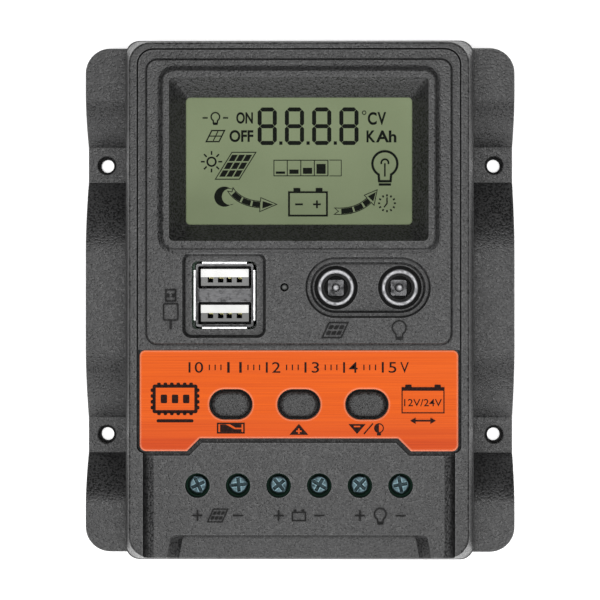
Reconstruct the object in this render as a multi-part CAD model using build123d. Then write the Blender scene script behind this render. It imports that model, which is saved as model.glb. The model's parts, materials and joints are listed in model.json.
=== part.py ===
"""Wall-mounted solar charge controller: two shells with wavy mounting ears, a face panel with
a liquid-crystal display, twin charging sockets, two barrel jacks, three push buttons and a six-pole
rising-cage terminal block.  Millimetres, +Z out of the face, +Y towards the display end, origin at
the centre of the back face on the mounting plane."""

from math import radians, tan
import os

from build123d import *

os.makedirs("parts", exist_ok=True)

# ------------------------------------------------------------------ driving sizes of the housing
base_width = 83.2
base_length = 124.0
base_corner = 3.3
split_z = 18.0  # parting plane between the two shells
frame_z = 33.0  # top of the front frame
frame_inset = 1.9  # how far the drafted front wall leans in
frame_corner = 5.1
wall = 2.2
floor_thick = 2.4
edge_round = 0.8
reveal = 0.15  # step of the front shell at the parting plane
lip_height = 1.2
lip_thick = 0.9
fit_gap = 0.12

# mounting ears: a wavy flange down each side
ear_reach = 10.2
ear_length = 121.6
ear_corner = 6.0
ear_thick = 4.2
ear_high = 12.0
ear_flat_in = 28.7  # foot flat, nearest the middle
ear_flat_out = 37.3
ear_rise_in = 11.6  # where the middle arch is level
ear_rise_out = 49.8  # where the end wing is level
ear_root = 0.5
mount_spacing_x = 94.8
mount_spacing_y = 65.8
mount_hole = 3.2
mount_mouth = 4.5  # a drafted well over the hole takes the screw's shoulder
mount_seat = 4.2
mount_bore_deep = 1.8

# case screws and their bosses
boss_radius = 3.5
boss_overlap = 0.2
counterbore = 6.2
counterbore_deep = 9.0
case_screw_clear = 3.4
case_screw_core = 2.8
case_screw_head = 5.4
case_screw_head_high = 2.2
case_screw_length = 16.0
pilot_gap = 0.05

# ------------------------------------------------------------------ face panel and label
pocket_deep = 2.4
ledge_thick = 3.0
ledge_width = 3.3
frame_strip = 1.85  # visible frame beside the panel
frame_strip_end = 1.4
panel_gap = 0.4
panel_corner = 3.5
panel_end_y = -35.3  # lower edge of the panel at its two sides
notch_rise = 3.0
notch_half = 23.1
panel_end_corner = 1.3
hook_ys = [44.0, -4.0]  # snap hooks along each side of the panel
hook_width = 6.0
hook_thick = 1.1
hook_drop = 1.4
hook_tip = 0.4
barb_root = 0.2
barb_reach = 0.7
barb_gap = 0.15
label_end_corner = 1.5
label_edge_gap = 0.75
label_top_y = -11.7
label_thick = 0.6
label_sunk = 0.4
label_bevel = 0.18
label_top_corner = 1.3

island_width = 71.6  # raised island that carries display and sockets
island_top_y = 56.3
island_end_y = -10.6
island_rise = 1.0
island_corner = 2.8
island_draft = 30.0

bezel_width = 63.6
bezel_length = 41.5
bezel_y = 32.7
bezel_rise = 2.0
bezel_corner = 2.7
bezel_rim = 1.7
bezel_cove = 1.3
bezel_round = 0.45
window_width = 53.0
window_length = 29.8
window_y = 32.5
window_corner = 1.0
window_lip = 0.6  # thickness of the panel at the window edge

# ------------------------------------------------------------------ terminal deck
deck_z = 31.0
deck_channel = 1.6
deck_recess_half = 36.4
deck_half = 34.0
deck_side_fall = 1.1  # the deck drops this far towards the frame at its two sides
deck_gap = 1.1
scoop_y = -55.0
scoop_half = 30.0
scoop_flare = 1.4
scoop_side = 2.7
scoop_deep = 3.2
scoop_round = 0.55
scoop_skin = 2.0

# ------------------------------------------------------------------ terminal block
poles = 6
pole_pitch = 9.5
pole_y = -43.4
access_hole = 5.8
block_front_y = -53.8
block_back_y = -37.0
block_top_z = 27.2
block_end_wall = 1.9
chamber_width = 8.0
chamber_top_z = 23.5
chamber_floor = 0.8
block_front_wall = 1.4
block_back_wall = 1.9
entry_width = 6.6
entry_low_z = 9.5
entry_high_z = 16.3
head_bore = 5.0
head_seat_z = 25.8
shank_clear = 3.9
term_shank = 3.5
term_head = 4.2
term_head_high = 2.2
term_tip_z = 15.7
cross_width = 0.85
cross_long = 3.3
cross_deep = 1.1
cage_width = 7.6
cage_deep = 6.4
cage_side = 0.8
cage_roof = 2.2
cage_floor = 1.1
cage_high = 9.6
cage_lift = 0.3  # rest height above the chamber floor
bar_width = 5.4
bar_thick = 1.0
bar_front_y = -47.5
bar_gap = 0.2
bar_hole = 3.9
bar_pin_width = 1.6
bar_pin_low_z = 5.2
run_gap = 0.3

# ------------------------------------------------------------------ boards
main_board_top = 8.0
board_thick = 1.6
board_edge_gap = 0.5
main_board_end_y = -55.0
boss_relief = 0.6
standoff_x = 33.0
standoff_y = 30.0
standoff_radius = 2.8
board_screw_core = 2.3
board_screw_head = 4.4
board_screw_head_high = 1.5
board_screw_depth = 4.6
display_board_top = 23.6
display_board_width = 65.6
display_board_low_y = -32.0
display_board_high_y = 56.4
panel_post_radius = 2.2
panel_post_x = 32.0
panel_post_high_y = 9.6
panel_post_low_y = -27.4
cutout_gap = 0.6

# ------------------------------------------------------------------ display module
lcd_width = 59.4
lcd_rear_length = 39.0
lcd_front_length = 36.4
lcd_glass = 1.1
lcd_y = 32.5
lcd_gap = 0.1
light_guide_width = 58.0
light_guide_length = 37.0
light_guide_inset = 0.1
lcd_pin_count = 18
lcd_pin_pitch = 2.54
lcd_pin = 0.5
lcd_pin_gap = 0.25

# ------------------------------------------------------------------ twin charging socket
socket_x = -17.4
socket_y = 1.1
socket_recess_width = 19.5
socket_recess_length = 19.9
socket_recess_corner = 2.1
socket_recess_deep = 1.5
socket_hole_width = 15.2
socket_hole_length = 15.9
socket_hole_corner = 1.3
socket_shell_width = 13.4
socket_shell_length = 14.7
socket_lip_out = 0.45
socket_lip_thick = 0.4
socket_lip_corner = 1.5
socket_lip_z = 31.6
port_width = 12.5
port_high = 5.3
port_spacing = 8.4
port_floor_z = 13.0
divider_sunk = 1.2
tongue_width = 11.2
tongue_thick = 1.9
tongue_high_z = 29.8
tongue_gap = 0.7
comb_thick = 2.0
comb_sunk = 0.7
contact_x = (-3.4, -1.0, 1.0, 3.4)
contact_width = 0.9
contact_thick = 0.3
contact_slot = 1.3
contact_slot_high = 1.25
contact_sunk = 5.2  # from the end of the tongue down to the contacts

# ------------------------------------------------------------------ barrel jacks
jack_x = 16.1
jack_y = 2.9
jack_spacing = 14.9
jack_recess_length = 29.2
jack_recess_width = 14.2
jack_recess_step = 1.0
jack_recess_ledge = 1.15
jack_recess_deep = 2.2
recess_draft = 25.0
jack_hole = 10.2
jack_body = 10.6
jack_body_low_z = 17.6
jack_body_high_z = 27.4
jack_tab = 1.4
jack_tab_thick = 1.0
jack_ring_outer = 8.6
jack_ring_inner = 6.6
jack_ring_low_z = 20.6
jack_ring_high_z = 32.4
jack_ring_round = 0.35
jack_liner_inner = 5.6
jack_liner_high_z = 31.0
jack_pin = 2.0
jack_pin_high_z = 29.6
jack_pin_base = 3.7
jack_pin_base_z = 22.6
jack_leg_low_z = 15.0

# ------------------------------------------------------------------ indicator
led_x = -3.35
led_y = 2.95
led_hole = 2.0
led_body = 3.0
led_flange = 3.6
led_high_z = 32.0
led_low_z = 26.0
led_gap = 0.15

# ------------------------------------------------------------------ buttons and their switches
button_pitch = 15.85
button_y = -24.3
button_slot_length = 10.1
button_slot_width = 7.1
button_gap = 0.4
button_high_z = 32.9
button_round = 1.2
button_flange = 1.1
button_flange_thick = 1.0
button_travel = 0.45
button_rest_gap = 0.1
stem_diameter = 3.0
switch_size = 6.0
switch_body_high = 3.2
switch_cover = 0.3
plunger_diameter = 3.3
plunger_show = 0.8
plunger_long = 2.3
switch_gap = 0.15
dome_diameter = 4.0
dome_thick = 0.15
switch_leg = 0.7

# ------------------------------------------------------------------ power parts on the main board
sink_y = 22.0
sink_length = 58.0
sink_thick = 3.0
sink_high = 12.5
mosfet_x = (-22.5, -7.5, 7.5, 22.5)
mosfet_width = 10.0
mosfet_thick = 4.4
mosfet_body_high = 8.8
mosfet_lift = 1.6
tab_thick = 1.3
pad_thick = 0.3
mosfet_leg = 0.8
mosfet_bolt_z = 5.8  # above the board, in the middle of each body
capacitors = [(-20.0, 40.0, 10.0, 12.0), (-7.0, 40.0, 10.0, 12.0), (5.0, 40.0, 8.0, 11.5)]
coil_x = 20.0
coil_y = 41.0
coil_diameter = 13.0
coil_high = 8.5
fuse_x = 14.0
fuse_y = -28.0
fuse_length = 20.0
fuse_diameter = 5.0
shunt_x = -12.0
shunt_y = -28.0
header_x = -30.0
header_y = -13.0
header_pins = 8
header_pitch = 2.54
header_pin = 0.6
socket_strip_high = 8.5
header_strip_low_z = 19.4
chip_x = 8.0
chip_y = -13.2
chip_size = 8.0
chip_thick = 1.4

# ------------------------------------------------------------------ back
vent_count = 9
vent_pitch = 6.0
vent_width = 2.2
vent_length = 24.0
vent_y = 36.0
rear_label_width = 56.0
rear_label_length = 30.0
rear_label_y = -16.0
rear_label_thick = 0.2
rear_label_sunk = 0.3

# ------------------------------------------------------------------ derived places
frame_width = base_width - 2 * (frame_inset)
frame_length = base_length - 2 * (frame_inset)
cavity_width = base_width - 2 * wall
cavity_length = base_length - 2 * wall
boss_x = cavity_width / 2 - boss_radius + boss_overlap
boss_y = cavity_length / 2 - boss_radius + boss_overlap
corners = [(sx * boss_x, sy * boss_y) for sx in (-1, 1) for sy in (-1, 1)]
pocket_half = frame_width / 2 - frame_strip
pocket_top_y = frame_length / 2 - frame_strip_end
panel_half = pocket_half - panel_gap
panel_top_y = pocket_top_y - panel_gap
panel_low_z = frame_z - pocket_deep
roof_z = panel_low_z - ledge_thick
island_z = frame_z + island_rise
bezel_z = island_z + bezel_rise
label_low_z = frame_z - label_sunk
label_high_z = label_low_z + label_thick
label_half = pocket_half - label_edge_gap
window_low_z = panel_low_z - window_lip
window_high_z = window_low_z + window_lip
lcd_top_z = window_low_z - lcd_gap
lcd_low_z = lcd_top_z - 2 * lcd_glass
deck_low_z = deck_z - deck_channel
pole_x = [(i - (poles - 1) / 2) * pole_pitch for i in range(poles)]
pole_names = ["panel_pos", "panel_neg", "battery_pos", "battery_neg", "load_pos", "load_neg"]
block_half = (poles - 1) / 2 * pole_pitch + chamber_width / 2 + block_end_wall
cage_low_z = main_board_top + chamber_floor + cage_lift
cage_high_z = cage_low_z + cage_high
bar_high_z = cage_high_z - cage_roof - bar_gap
main_board_low = main_board_top - board_thick
main_board_half = cavity_width / 2 - board_edge_gap
main_board_top_y = cavity_length / 2 - board_edge_gap
display_board_low = display_board_top - board_thick
standoffs = [(sx * standoff_x, sy * standoff_y) for sx in (-1, 1) for sy in (-1, 1)]
panel_posts = [(sx * panel_post_x, y) for sx in (-1, 1) for y in (panel_post_high_y, panel_post_low_y)]
jack_xs = [jack_x - jack_spacing / 2, jack_x + jack_spacing / 2]
button_xs = [-button_pitch, 0.0, button_pitch]
button_names = ["mode", "up", "down"]
flange_high_z = panel_low_z - button_rest_gap
flange_low_z = flange_high_z - button_flange_thick
switch_high_z = display_board_top + switch_body_high
cover_high_z = switch_high_z + switch_cover
plunger_high_z = cover_high_z + plunger_show
plunger_low_z = plunger_high_z - plunger_long


# ------------------------------------------------------------------ shared builders
def slab(width, length, z_low, z_high, x=0.0, y=0.0, corner=0.0):
    """Upright block centred on x, y, with its corners rounded where corner is given."""
    outline = RectangleRounded(width, length, corner) if corner else Rectangle(width, length)
    return extrude(Pos(x, y, z_low) * outline, amount=z_high - z_low)


def span(x_low, x_high, y_low, y_high, z_low, z_high):
    """Block between two corners."""
    return slab(x_high - x_low, y_high - y_low, z_low, z_high, (x_low + x_high) / 2, (y_low + y_high) / 2)


def rod(diameter, z_low, z_high, x=0.0, y=0.0):
    """Upright cylinder."""
    return extrude(Pos(x, y, z_low) * Circle(diameter / 2), amount=z_high - z_low)


def rod_y(diameter, y_low, y_high, x, z):
    """Cylinder lying along Y."""
    return extrude(Plane(origin=(x, y_low, z), z_dir=(0, 1, 0)) * Circle(diameter / 2), amount=y_high - y_low)


def pill(length, width, z_low, z_high, x=0.0, y=0.0):
    """Upright prism with fully rounded ends, long along X."""
    return extrude(Pos(x, y, z_low) * SlotOverall(length, width), amount=z_high - z_low)


def pit(outline, z_low, z_high, x, y):
    """Recess with drafted walls: outline(inset) is its plan, drawn at the mouth and again at the floor."""
    inset = (z_high - z_low) * tan(radians(recess_draft))
    return loft([Pos(x, y, z_low) * outline(inset), Pos(x, y, z_high) * outline(0)], ruled=True)


def group(solids):
    """Several separate solids in one node."""
    return Compound(children=[piece for solid in solids for piece in solid.solids()])


def write(name, shape):
    """Exports one sub-part."""
    export_step(shape, f"parts/{name}.step")


def wall_section(z, inset):
    """Outline of the drafted front wall at a height, moved in by inset."""
    share = (z - split_z) / (frame_z - split_z)
    width = base_width - 2 * reveal + share * (frame_width - base_width + 2 * reveal) - 2 * inset
    length = base_length - 2 * reveal + share * (frame_length - base_length + 2 * reveal) - 2 * inset
    corner = max(base_corner + share * (frame_corner - base_corner) - inset, 0.6)
    return Pos(0, 0, z) * RectangleRounded(width, length, corner)


def panel_outline(half, top_y, end_y, grow=0.0):
    """Face outline: straight top and sides, and a lower edge stepped up in the middle."""
    lift = grow * tan(radians(22.5))
    low, mid = end_y - grow, end_y + notch_rise - grow
    points = [
        (-half - grow, top_y + grow),
        (half + grow, top_y + grow),
        (half + grow, low),
        (notch_half + notch_rise - lift, low),
        (notch_half - lift, mid),
        (-notch_half + lift, mid),
        (-notch_half - notch_rise + lift, low),
        (-half - grow, low),
    ]
    return make_face(Polyline(*points, close=True))


def round_corners(face, top_radius, end_radius):
    """Rounds the four outer corners of a face outline."""
    limit = max(vertex.X for vertex in face.vertices()) - 0.01
    outer = face.vertices().filter_by(lambda vertex: abs(vertex.X) > limit)
    middle = sum(vertex.Y for vertex in outer) / len(outer)
    face = fillet(outer.filter_by(lambda vertex: vertex.Y > middle), top_radius)
    outer = face.vertices().filter_by(lambda vertex: abs(vertex.X) > limit and vertex.Y < middle)
    lowest = min(vertex.Y for vertex in outer)
    return fillet(outer.filter_by(lambda vertex: vertex.Y < lowest + 0.01), end_radius)


# ------------------------------------------------------------------ rear shell
def ear_profile():
    """Side view of the wavy flange, in the YZ plane: feet at the screws, arches between them."""
    low, high = ear_thick, ear_high
    end = ear_length / 2
    stops = [
        (-end, high),
        (-ear_rise_out, high),
        (-ear_flat_out, low),
        (-ear_flat_in, low),
        (-ear_rise_in, high),
        (ear_rise_in, high),
        (ear_flat_in, low),
        (ear_flat_out, low),
        (ear_rise_out, high),
        (end, high),
    ]

    def bend(foot, crest, along, up):
        return (0, foot[1] + along * (crest[1] - foot[1]), foot[2] + up * (crest[2] - foot[2]))

    def wave(drop):
        edges = []
        for (y_a, z_a), (y_b, z_b) in zip(stops, stops[1:]):
            start, finish = (0, y_a, z_a - drop), (0, y_b, z_b - drop)
            if z_a == z_b:
                edges.append(Line(start, finish))
            else:
                foot, crest = (start, finish) if z_a < z_b else (finish, start)
                edges.append(Bezier(foot, bend(foot, crest, 0.1, 0.22), bend(foot, crest, 0.6, 1.0), crest))
        return edges

    top, bottom = wave(0), wave(ear_thick)
    ends = [Line((0, y, high - ear_thick), (0, y, high)) for y in (-end, end)]
    return make_face(Wire(top + ends + bottom))


def ears():
    """Both flanges, with rounded outer corners, a root fillet and the four screw holes."""
    inner = base_width / 2 - wall / 2
    outer = base_width / 2 + ear_reach
    profile = ear_profile()
    right = extrude(Pos(inner, 0, 0) * profile, amount=outer - inner, dir=(1, 0, 0))
    trim = slab(2 * outer, ear_length, -1, ear_high + 1, corner=ear_corner)
    right = right & trim
    return right + mirror(right, about=Plane.YZ)


def rear_shell():
    body = slab(base_width, base_length, 0, split_z, corner=base_corner)
    body = fillet(body.faces().sort_by(Axis.Z)[0].edges(), edge_round)
    body += ears()
    roots = body.edges().filter_by(
        lambda edge: abs(abs(edge.center().X) - base_width / 2) < 0.01
        and edge.center().Z > ear_thick - 0.01
        and edge.center().Z < ear_high + 0.01
        and abs(edge.center().Y) < ear_length / 2 - 0.1
        and edge.length > 1
        and abs(edge.tangent_at(0.5).Z) < 0.9
        and not is_underside(edge)
    )
    body = fillet(roots, ear_root)
    body -= slab(cavity_width, cavity_length, floor_thick, split_z, corner=base_corner - wall)
    lip_outer = slab(
        cavity_width + 2 * lip_thick,
        cavity_length + 2 * lip_thick,
        split_z - 1,
        split_z + lip_height,
        corner=base_corner - wall + lip_thick,
    )
    body += lip_outer - slab(
        cavity_width, cavity_length, split_z - 1, split_z + lip_height, corner=base_corner - wall
    )
    for x, y in corners:
        body += rod(2 * boss_radius, floor_thick, split_z, x, y) & slab(
            base_width - wall, base_length - wall, 0, split_z, corner=base_corner - wall / 2
        )
    for x, y in standoffs:
        body += rod(2 * standoff_radius, floor_thick, main_board_low, x, y)
        body -= rod(board_screw_core + 2 * pilot_gap, floor_thick + 0.6, main_board_low, x, y)
    for x, y in corners:
        body -= rod(counterbore, 0, counterbore_deep, x, y)
        body -= rod(case_screw_clear, counterbore_deep, split_z, x, y)
    for sx in (-1, 1):
        for sy in (-1, 1):
            x, y = sx * mount_spacing_x / 2, sy * mount_spacing_y / 2
            body -= rod(mount_hole, -1, ear_thick, x, y)
            body -= Pos(x, y, (mount_bore_deep + ear_thick) / 2) * Cone(
                mount_seat / 2, mount_mouth / 2, ear_thick - mount_bore_deep
            )
    for i in range(vent_count):
        x = (i - (vent_count - 1) / 2) * vent_pitch
        body -= extrude(
            Pos(x, vent_y, 0) * SlotOverall(vent_length, vent_width, rotation=90), amount=floor_thick
        )
    for x in pole_x:
        body -= span(
            x - entry_width / 2,
            x + entry_width / 2,
            -base_length / 2 - 1,
            -base_length / 2 + wall + 0.5,
            entry_low_z,
            entry_high_z,
        )
    body -= slab(rear_label_width, rear_label_length, 0, rear_label_sunk, 0, rear_label_y, corner=2)
    return body


def is_underside(edge):
    """True for an ear edge that belongs to the lower face of the flange."""
    point = edge.center()
    y, z = abs(point.Y), point.Z
    if y < ear_rise_in or y > ear_rise_out:
        return z < ear_high - 0.1
    if ear_flat_in < y < ear_flat_out:
        return z < ear_thick - 0.1
    low, high = (ear_rise_in, ear_flat_in) if y < ear_flat_in else (ear_rise_out, ear_flat_out)
    share = (y - low) / (high - low)
    surface = ear_high + (ear_thick - ear_high) * share * share
    return z < surface - ear_thick / 2


# ------------------------------------------------------------------ front shell
def deck_plateau():
    """Raised deck over the terminals, with sloped sides and the stepped upper edge."""
    reach = base_length / 2
    run = deck_recess_half - deck_half
    side = [
        (deck_half, deck_z),
        (deck_half + run / 2, deck_z - deck_side_fall / 3),
        (deck_recess_half, deck_z - deck_side_fall),
        (deck_recess_half + wall / 4, deck_z - deck_side_fall),
        (deck_recess_half + wall / 4, roof_z),
    ]
    outline = [(x, 0, z) for x, z in side] + [(-x, 0, z) for x, z in reversed(side)]
    profile = make_face(Polyline(*outline, close=True))
    prism = extrude(Pos(0, -reach, 0) * profile, amount=reach + panel_end_y + notch_rise, dir=(0, 1, 0))
    edge = panel_outline(2 * base_width, base_length, panel_end_y, grow=deck_gap)
    return prism - extrude(Pos(0, 0, roof_z - 1) * edge, amount=deck_z)


def scoop_cut():
    """Hollow at the wire end of the deck: steep back wall, sloped side walls, open at the end."""
    end = -base_length / 2 - 1
    sections = []
    for z, inset in ((deck_z, 0.0), (deck_z - scoop_deep, scoop_side)):
        back = scoop_y - 0.15 * inset
        corners_of = [
            (-scoop_half + inset, back),
            (scoop_half - inset, back),
            (scoop_half + scoop_flare - inset, end),
            (-scoop_half - scoop_flare + inset, end),
        ]
        face = make_face(Polyline(*corners_of, close=True))
        face = fillet(face.vertices().filter_by(lambda vertex: vertex.Y > scoop_y - 1), 1.3)
        sections.append(Pos(0, 0, z) * face)
    return loft(sections, ruled=True)


def front_shell():
    outer = loft([wall_section(split_z, 0), wall_section(frame_z, 0)], ruled=True)
    outer = fillet(outer.faces().sort_by(Axis.Z)[-1].edges(), 0.5)
    inner = loft([wall_section(split_z, wall), wall_section(roof_z, wall)], ruled=True)
    body = outer - inner
    # scoop: the skin under it sits lower than the rest of the roof
    shelf = span(
        -scoop_half - scoop_flare,
        scoop_half + scoop_flare,
        -base_length / 2,
        scoop_y + 0.6,
        deck_z - scoop_deep - scoop_skin,
        roof_z,
    )
    body += shelf & outer
    # recess for the terminal deck, and the deck itself
    recess = span(
        -deck_recess_half, deck_recess_half, -base_length / 2 - 1, panel_end_y + notch_rise, deck_low_z, frame_z
    )
    face_cut = panel_outline(2 * base_width, base_length, panel_end_y)
    recess -= extrude(Pos(0, 0, deck_low_z) * face_cut, amount=pocket_deep + 4)
    body -= recess
    body += deck_plateau() & outer
    body -= scoop_cut()
    # pocket for the face panel, and the window inside its ledge
    pocket = round_corners(
        panel_outline(panel_half, panel_top_y, panel_end_y, grow=panel_gap),
        panel_corner + panel_gap,
        panel_end_corner + panel_gap,
    )
    body -= extrude(Pos(0, 0, panel_low_z) * pocket, amount=pocket_deep)
    window_low_y = panel_end_y + notch_rise + 2.4
    body -= span(
        -pocket_half + ledge_width,
        pocket_half - ledge_width,
        window_low_y,
        pocket_top_y - ledge_width,
        roof_z,
        panel_low_z,
    )
    # rebate over the rear shell's lip
    body -= slab(
        cavity_width + 2 * lip_thick + 2 * fit_gap,
        cavity_length + 2 * lip_thick + 2 * fit_gap,
        split_z,
        split_z + lip_height + fit_gap,
        corner=base_corner - wall + lip_thick + fit_gap,
    )
    for x, y in corners:
        post = rod(2 * boss_radius - 0.2, split_z + lip_height + 0.3, roof_z, x, y)
        body += post & loft([wall_section(split_z, 0.8), wall_section(roof_z, 0.8)], ruled=True)
        body -= rod(case_screw_core + 2 * pilot_gap, split_z, roof_z - 0.6, x, y)
    for x in pole_x:
        body -= rod(access_hole, roof_z - 1, frame_z, x, pole_y)
    return body


# ------------------------------------------------------------------ face panel
def bezel():
    """Display surround: raised rim with a coved foot, and the sloped funnel down to the window."""
    rim = extrude(
        Pos(0, bezel_y, window_low_z) * RectangleRounded(bezel_width, bezel_length, bezel_corner),
        amount=bezel_z - window_low_z,
    )
    return rim


def funnel():
    inner_width = bezel_width - 2 * bezel_rim
    inner_length = bezel_length - 2 * bezel_rim
    over = 0.5
    grow = (inner_width - window_width) / (bezel_z - window_high_z) * over
    top = Pos(0, bezel_y, bezel_z + over) * RectangleRounded(inner_width + grow, inner_length + grow, 1.2)
    low = Pos(0, window_y, window_high_z) * RectangleRounded(window_width, window_length, window_corner)
    through = slab(
        window_width, window_length, window_low_z - 1, window_high_z, 0, window_y, corner=window_corner
    )
    return loft([low, top], ruled=True) + through


def panel_hooks():
    """Four snap hooks that catch under the front shell's ledge."""
    hooks = []
    half = pocket_half - ledge_width - fit_gap
    for sx in (-1, 1):
        for y in hook_ys:
            low, high = y - hook_width / 2, y + hook_width / 2
            leg = span(half - hook_thick, half, low, high, roof_z - hook_drop, panel_low_z)
            barb = span(
                half - barb_root, half + barb_reach, low, high, roof_z - hook_drop + hook_tip, roof_z - barb_gap
            )
            hook = leg + barb
            hooks.append(hook if sx > 0 else mirror(hook, about=Plane.YZ))
    return hooks


def face_panel():
    outline = round_corners(
        panel_outline(panel_half, panel_top_y, panel_end_y), panel_corner, panel_end_corner
    )
    body = extrude(Pos(0, 0, panel_low_z) * outline, amount=frame_z - panel_low_z)
    # label seat: lower and a little narrower than the rest of the panel
    body -= span(-base_width, base_width, -base_length, label_top_y + fit_gap, label_low_z, frame_z)
    side = panel_half - label_half + fit_gap
    for sx in (-1, 1):
        body -= slab(
            2 * side, label_top_y - panel_end_y + 8, panel_low_z, label_low_z,
            sx * (panel_half), (label_top_y + panel_end_y) / 2 - 4,
        )
    island_length = island_top_y - island_end_y
    body += extrude(
        Pos(0, (island_top_y + island_end_y) / 2, frame_z)
        * RectangleRounded(island_width, island_length, island_corner),
        amount=island_rise,
        taper=island_draft,
    )
    body += bezel()
    foot = body.edges().filter_by(
        lambda edge: abs(edge.center().Z - island_z) < 0.01
        and abs(edge.center().X) < bezel_width / 2 + 0.1
        and abs(edge.center().Y - bezel_y) < bezel_length / 2 + 0.1
    )
    body = fillet(foot, bezel_cove)
    crown = body.edges().filter_by(lambda edge: abs(edge.center().Z - bezel_z) < 0.01)
    body = fillet(crown, bezel_round)
    body -= funnel()
    body -= pit(
        lambda inset: RectangleRounded(
            socket_recess_width - 2 * inset, socket_recess_length - 2 * inset, socket_recess_corner - inset
        ),
        island_z - socket_recess_deep,
        island_z,
        socket_x,
        socket_y,
    )
    body -= slab(
        socket_hole_width,
        socket_hole_length,
        panel_low_z,
        island_z,
        socket_x,
        socket_y,
        corner=socket_hole_corner,
    )
    for low, high, ledge in (
        (island_z - jack_recess_step, island_z, 0),
        (island_z - jack_recess_deep, island_z - jack_recess_step, jack_recess_ledge),
    ):
        body -= pit(
            lambda inset: SlotOverall(
                jack_recess_length - 2 * (ledge + inset), jack_recess_width - 2 * (ledge + inset)
            ),
            low,
            high,
            jack_x,
            jack_y,
        )
    for x in jack_xs:
        body -= rod(jack_hole, panel_low_z, island_z, x, jack_y)
    body -= rod(led_hole, panel_low_z, island_z, led_x, led_y)
    body -= rod(led_body + 2 * led_gap, panel_low_z, led_high_z + 0.3, led_x, led_y)
    for x in button_xs:
        body -= pill(button_slot_length, button_slot_width, panel_low_z, frame_z, x, button_y)
    for x, y in panel_posts:
        body += rod(2 * panel_post_radius, display_board_top, panel_low_z, x, y)
        body -= rod(board_screw_core + 2 * pilot_gap, display_board_top, panel_low_z + 0.6, x, y)
    for hook in panel_hooks():
        body += hook
    return body


def label_plate():
    outline = round_corners(
        panel_outline(label_half, label_top_y, panel_end_y + 0.1), label_top_corner, label_end_corner
    )
    body = extrude(Pos(0, 0, label_low_z) * outline, amount=label_thick)
    for x in button_xs:
        body -= pill(button_slot_length, button_slot_width, label_low_z, label_high_z, x, button_y)
    rims = body.edges().filter_by(lambda edge: abs(edge.center().Z - label_high_z) < 0.001)
    return chamfer(rims, label_bevel)


# ------------------------------------------------------------------ buttons
def button_cap(x):
    length = button_slot_length - 2 * button_gap
    width = button_slot_width - 2 * button_gap
    cap = pill(length, width, flange_low_z, button_high_z, x, button_y)
    cap = fillet(cap.faces().sort_by(Axis.Z)[-1].edges(), button_round)
    cap += pill(
        button_slot_length + 2 * button_flange,
        button_slot_width + 2 * button_flange,
        flange_low_z,
        flange_high_z,
        x,
        button_y,
    )
    return cap + rod(stem_diameter, plunger_high_z, flange_low_z, x, button_y)


def switch_plunger(x):
    return rod(plunger_diameter, plunger_low_z, plunger_high_z, x, button_y)


def switch_body(x):
    body = slab(switch_size, switch_size, display_board_top, switch_high_z, x, button_y, corner=0.4)
    well_low = plunger_low_z - button_travel - dome_thick - 0.3
    return body - rod(dome_diameter + 0.4, well_low, switch_high_z, x, button_y)


def switch_lid(x):
    lid = slab(switch_size, switch_size, switch_high_z, cover_high_z, x, button_y, corner=0.4)
    return lid - rod(plunger_diameter + 2 * switch_gap, switch_high_z, cover_high_z, x, button_y)


def switch_dome(x):
    low = plunger_low_z - button_travel - dome_thick - 0.3
    return rod(dome_diameter, low, low + dome_thick, x, button_y)


def switch_legs(x):
    legs = []
    for sx in (-1, 1):
        for sy in (-1, 1):
            outer = x + sx * (switch_size / 2 + 0.35)
            leg = slab(
                0.4, switch_leg, display_board_low - 1.0, display_board_top + 1.2, outer, button_y + sy * 2.25
            )
            legs.append(leg)
    return legs


# ------------------------------------------------------------------ terminal block
def terminal_housing():
    body = span(-block_half, block_half, block_front_y, block_back_y, main_board_top, block_top_z)
    for x in pole_x:
        half = chamber_width / 2
        body -= span(
            x - half,
            x + half,
            block_front_y + block_front_wall,
            block_back_y - block_back_wall,
            main_board_top + chamber_floor,
            chamber_top_z,
        )
        body -= span(
            x - entry_width / 2,
            x + entry_width / 2,
            block_front_y,
            block_front_y + block_front_wall,
            entry_low_z,
            entry_high_z,
        )
        body -= rod(shank_clear, chamber_top_z, head_seat_z, x, pole_y)
        body -= rod(head_bore, head_seat_z, block_top_z, x, pole_y)
        back = block_back_y - block_back_wall
        body -= span(
            x - bar_width / 2, x + bar_width / 2, back - bar_thick, back, main_board_top,
            main_board_top + chamber_floor,
        )
    for x, y in corners:
        body -= rod(2 * (boss_radius + boss_relief), main_board_top, block_top_z, x, y)
    return body


def contact_bar(x):
    back = block_back_y - block_back_wall
    flat = span(x - bar_width / 2, x + bar_width / 2, bar_front_y, back, bar_high_z - bar_thick, bar_high_z)
    flat -= rod(bar_hole, bar_high_z - bar_thick, bar_high_z, x, pole_y)
    leg = span(
        x - bar_width / 2, x + bar_width / 2, back - bar_thick, back, main_board_top, bar_high_z - bar_thick
    )
    pin = span(
        x - bar_pin_width / 2, x + bar_pin_width / 2, back - bar_thick, back, bar_pin_low_z, main_board_top
    )
    return flat + leg + pin


def clamp_cage(x):
    body = slab(cage_width, cage_deep, cage_low_z, cage_high_z, x, pole_y, corner=0.5)
    body -= slab(
        cage_width - 2 * cage_side, cage_deep, cage_low_z + cage_floor, cage_high_z - cage_roof, x, pole_y
    )
    return body - rod(term_shank + 2 * pilot_gap, cage_high_z - cage_roof, cage_high_z, x, pole_y)


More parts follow.
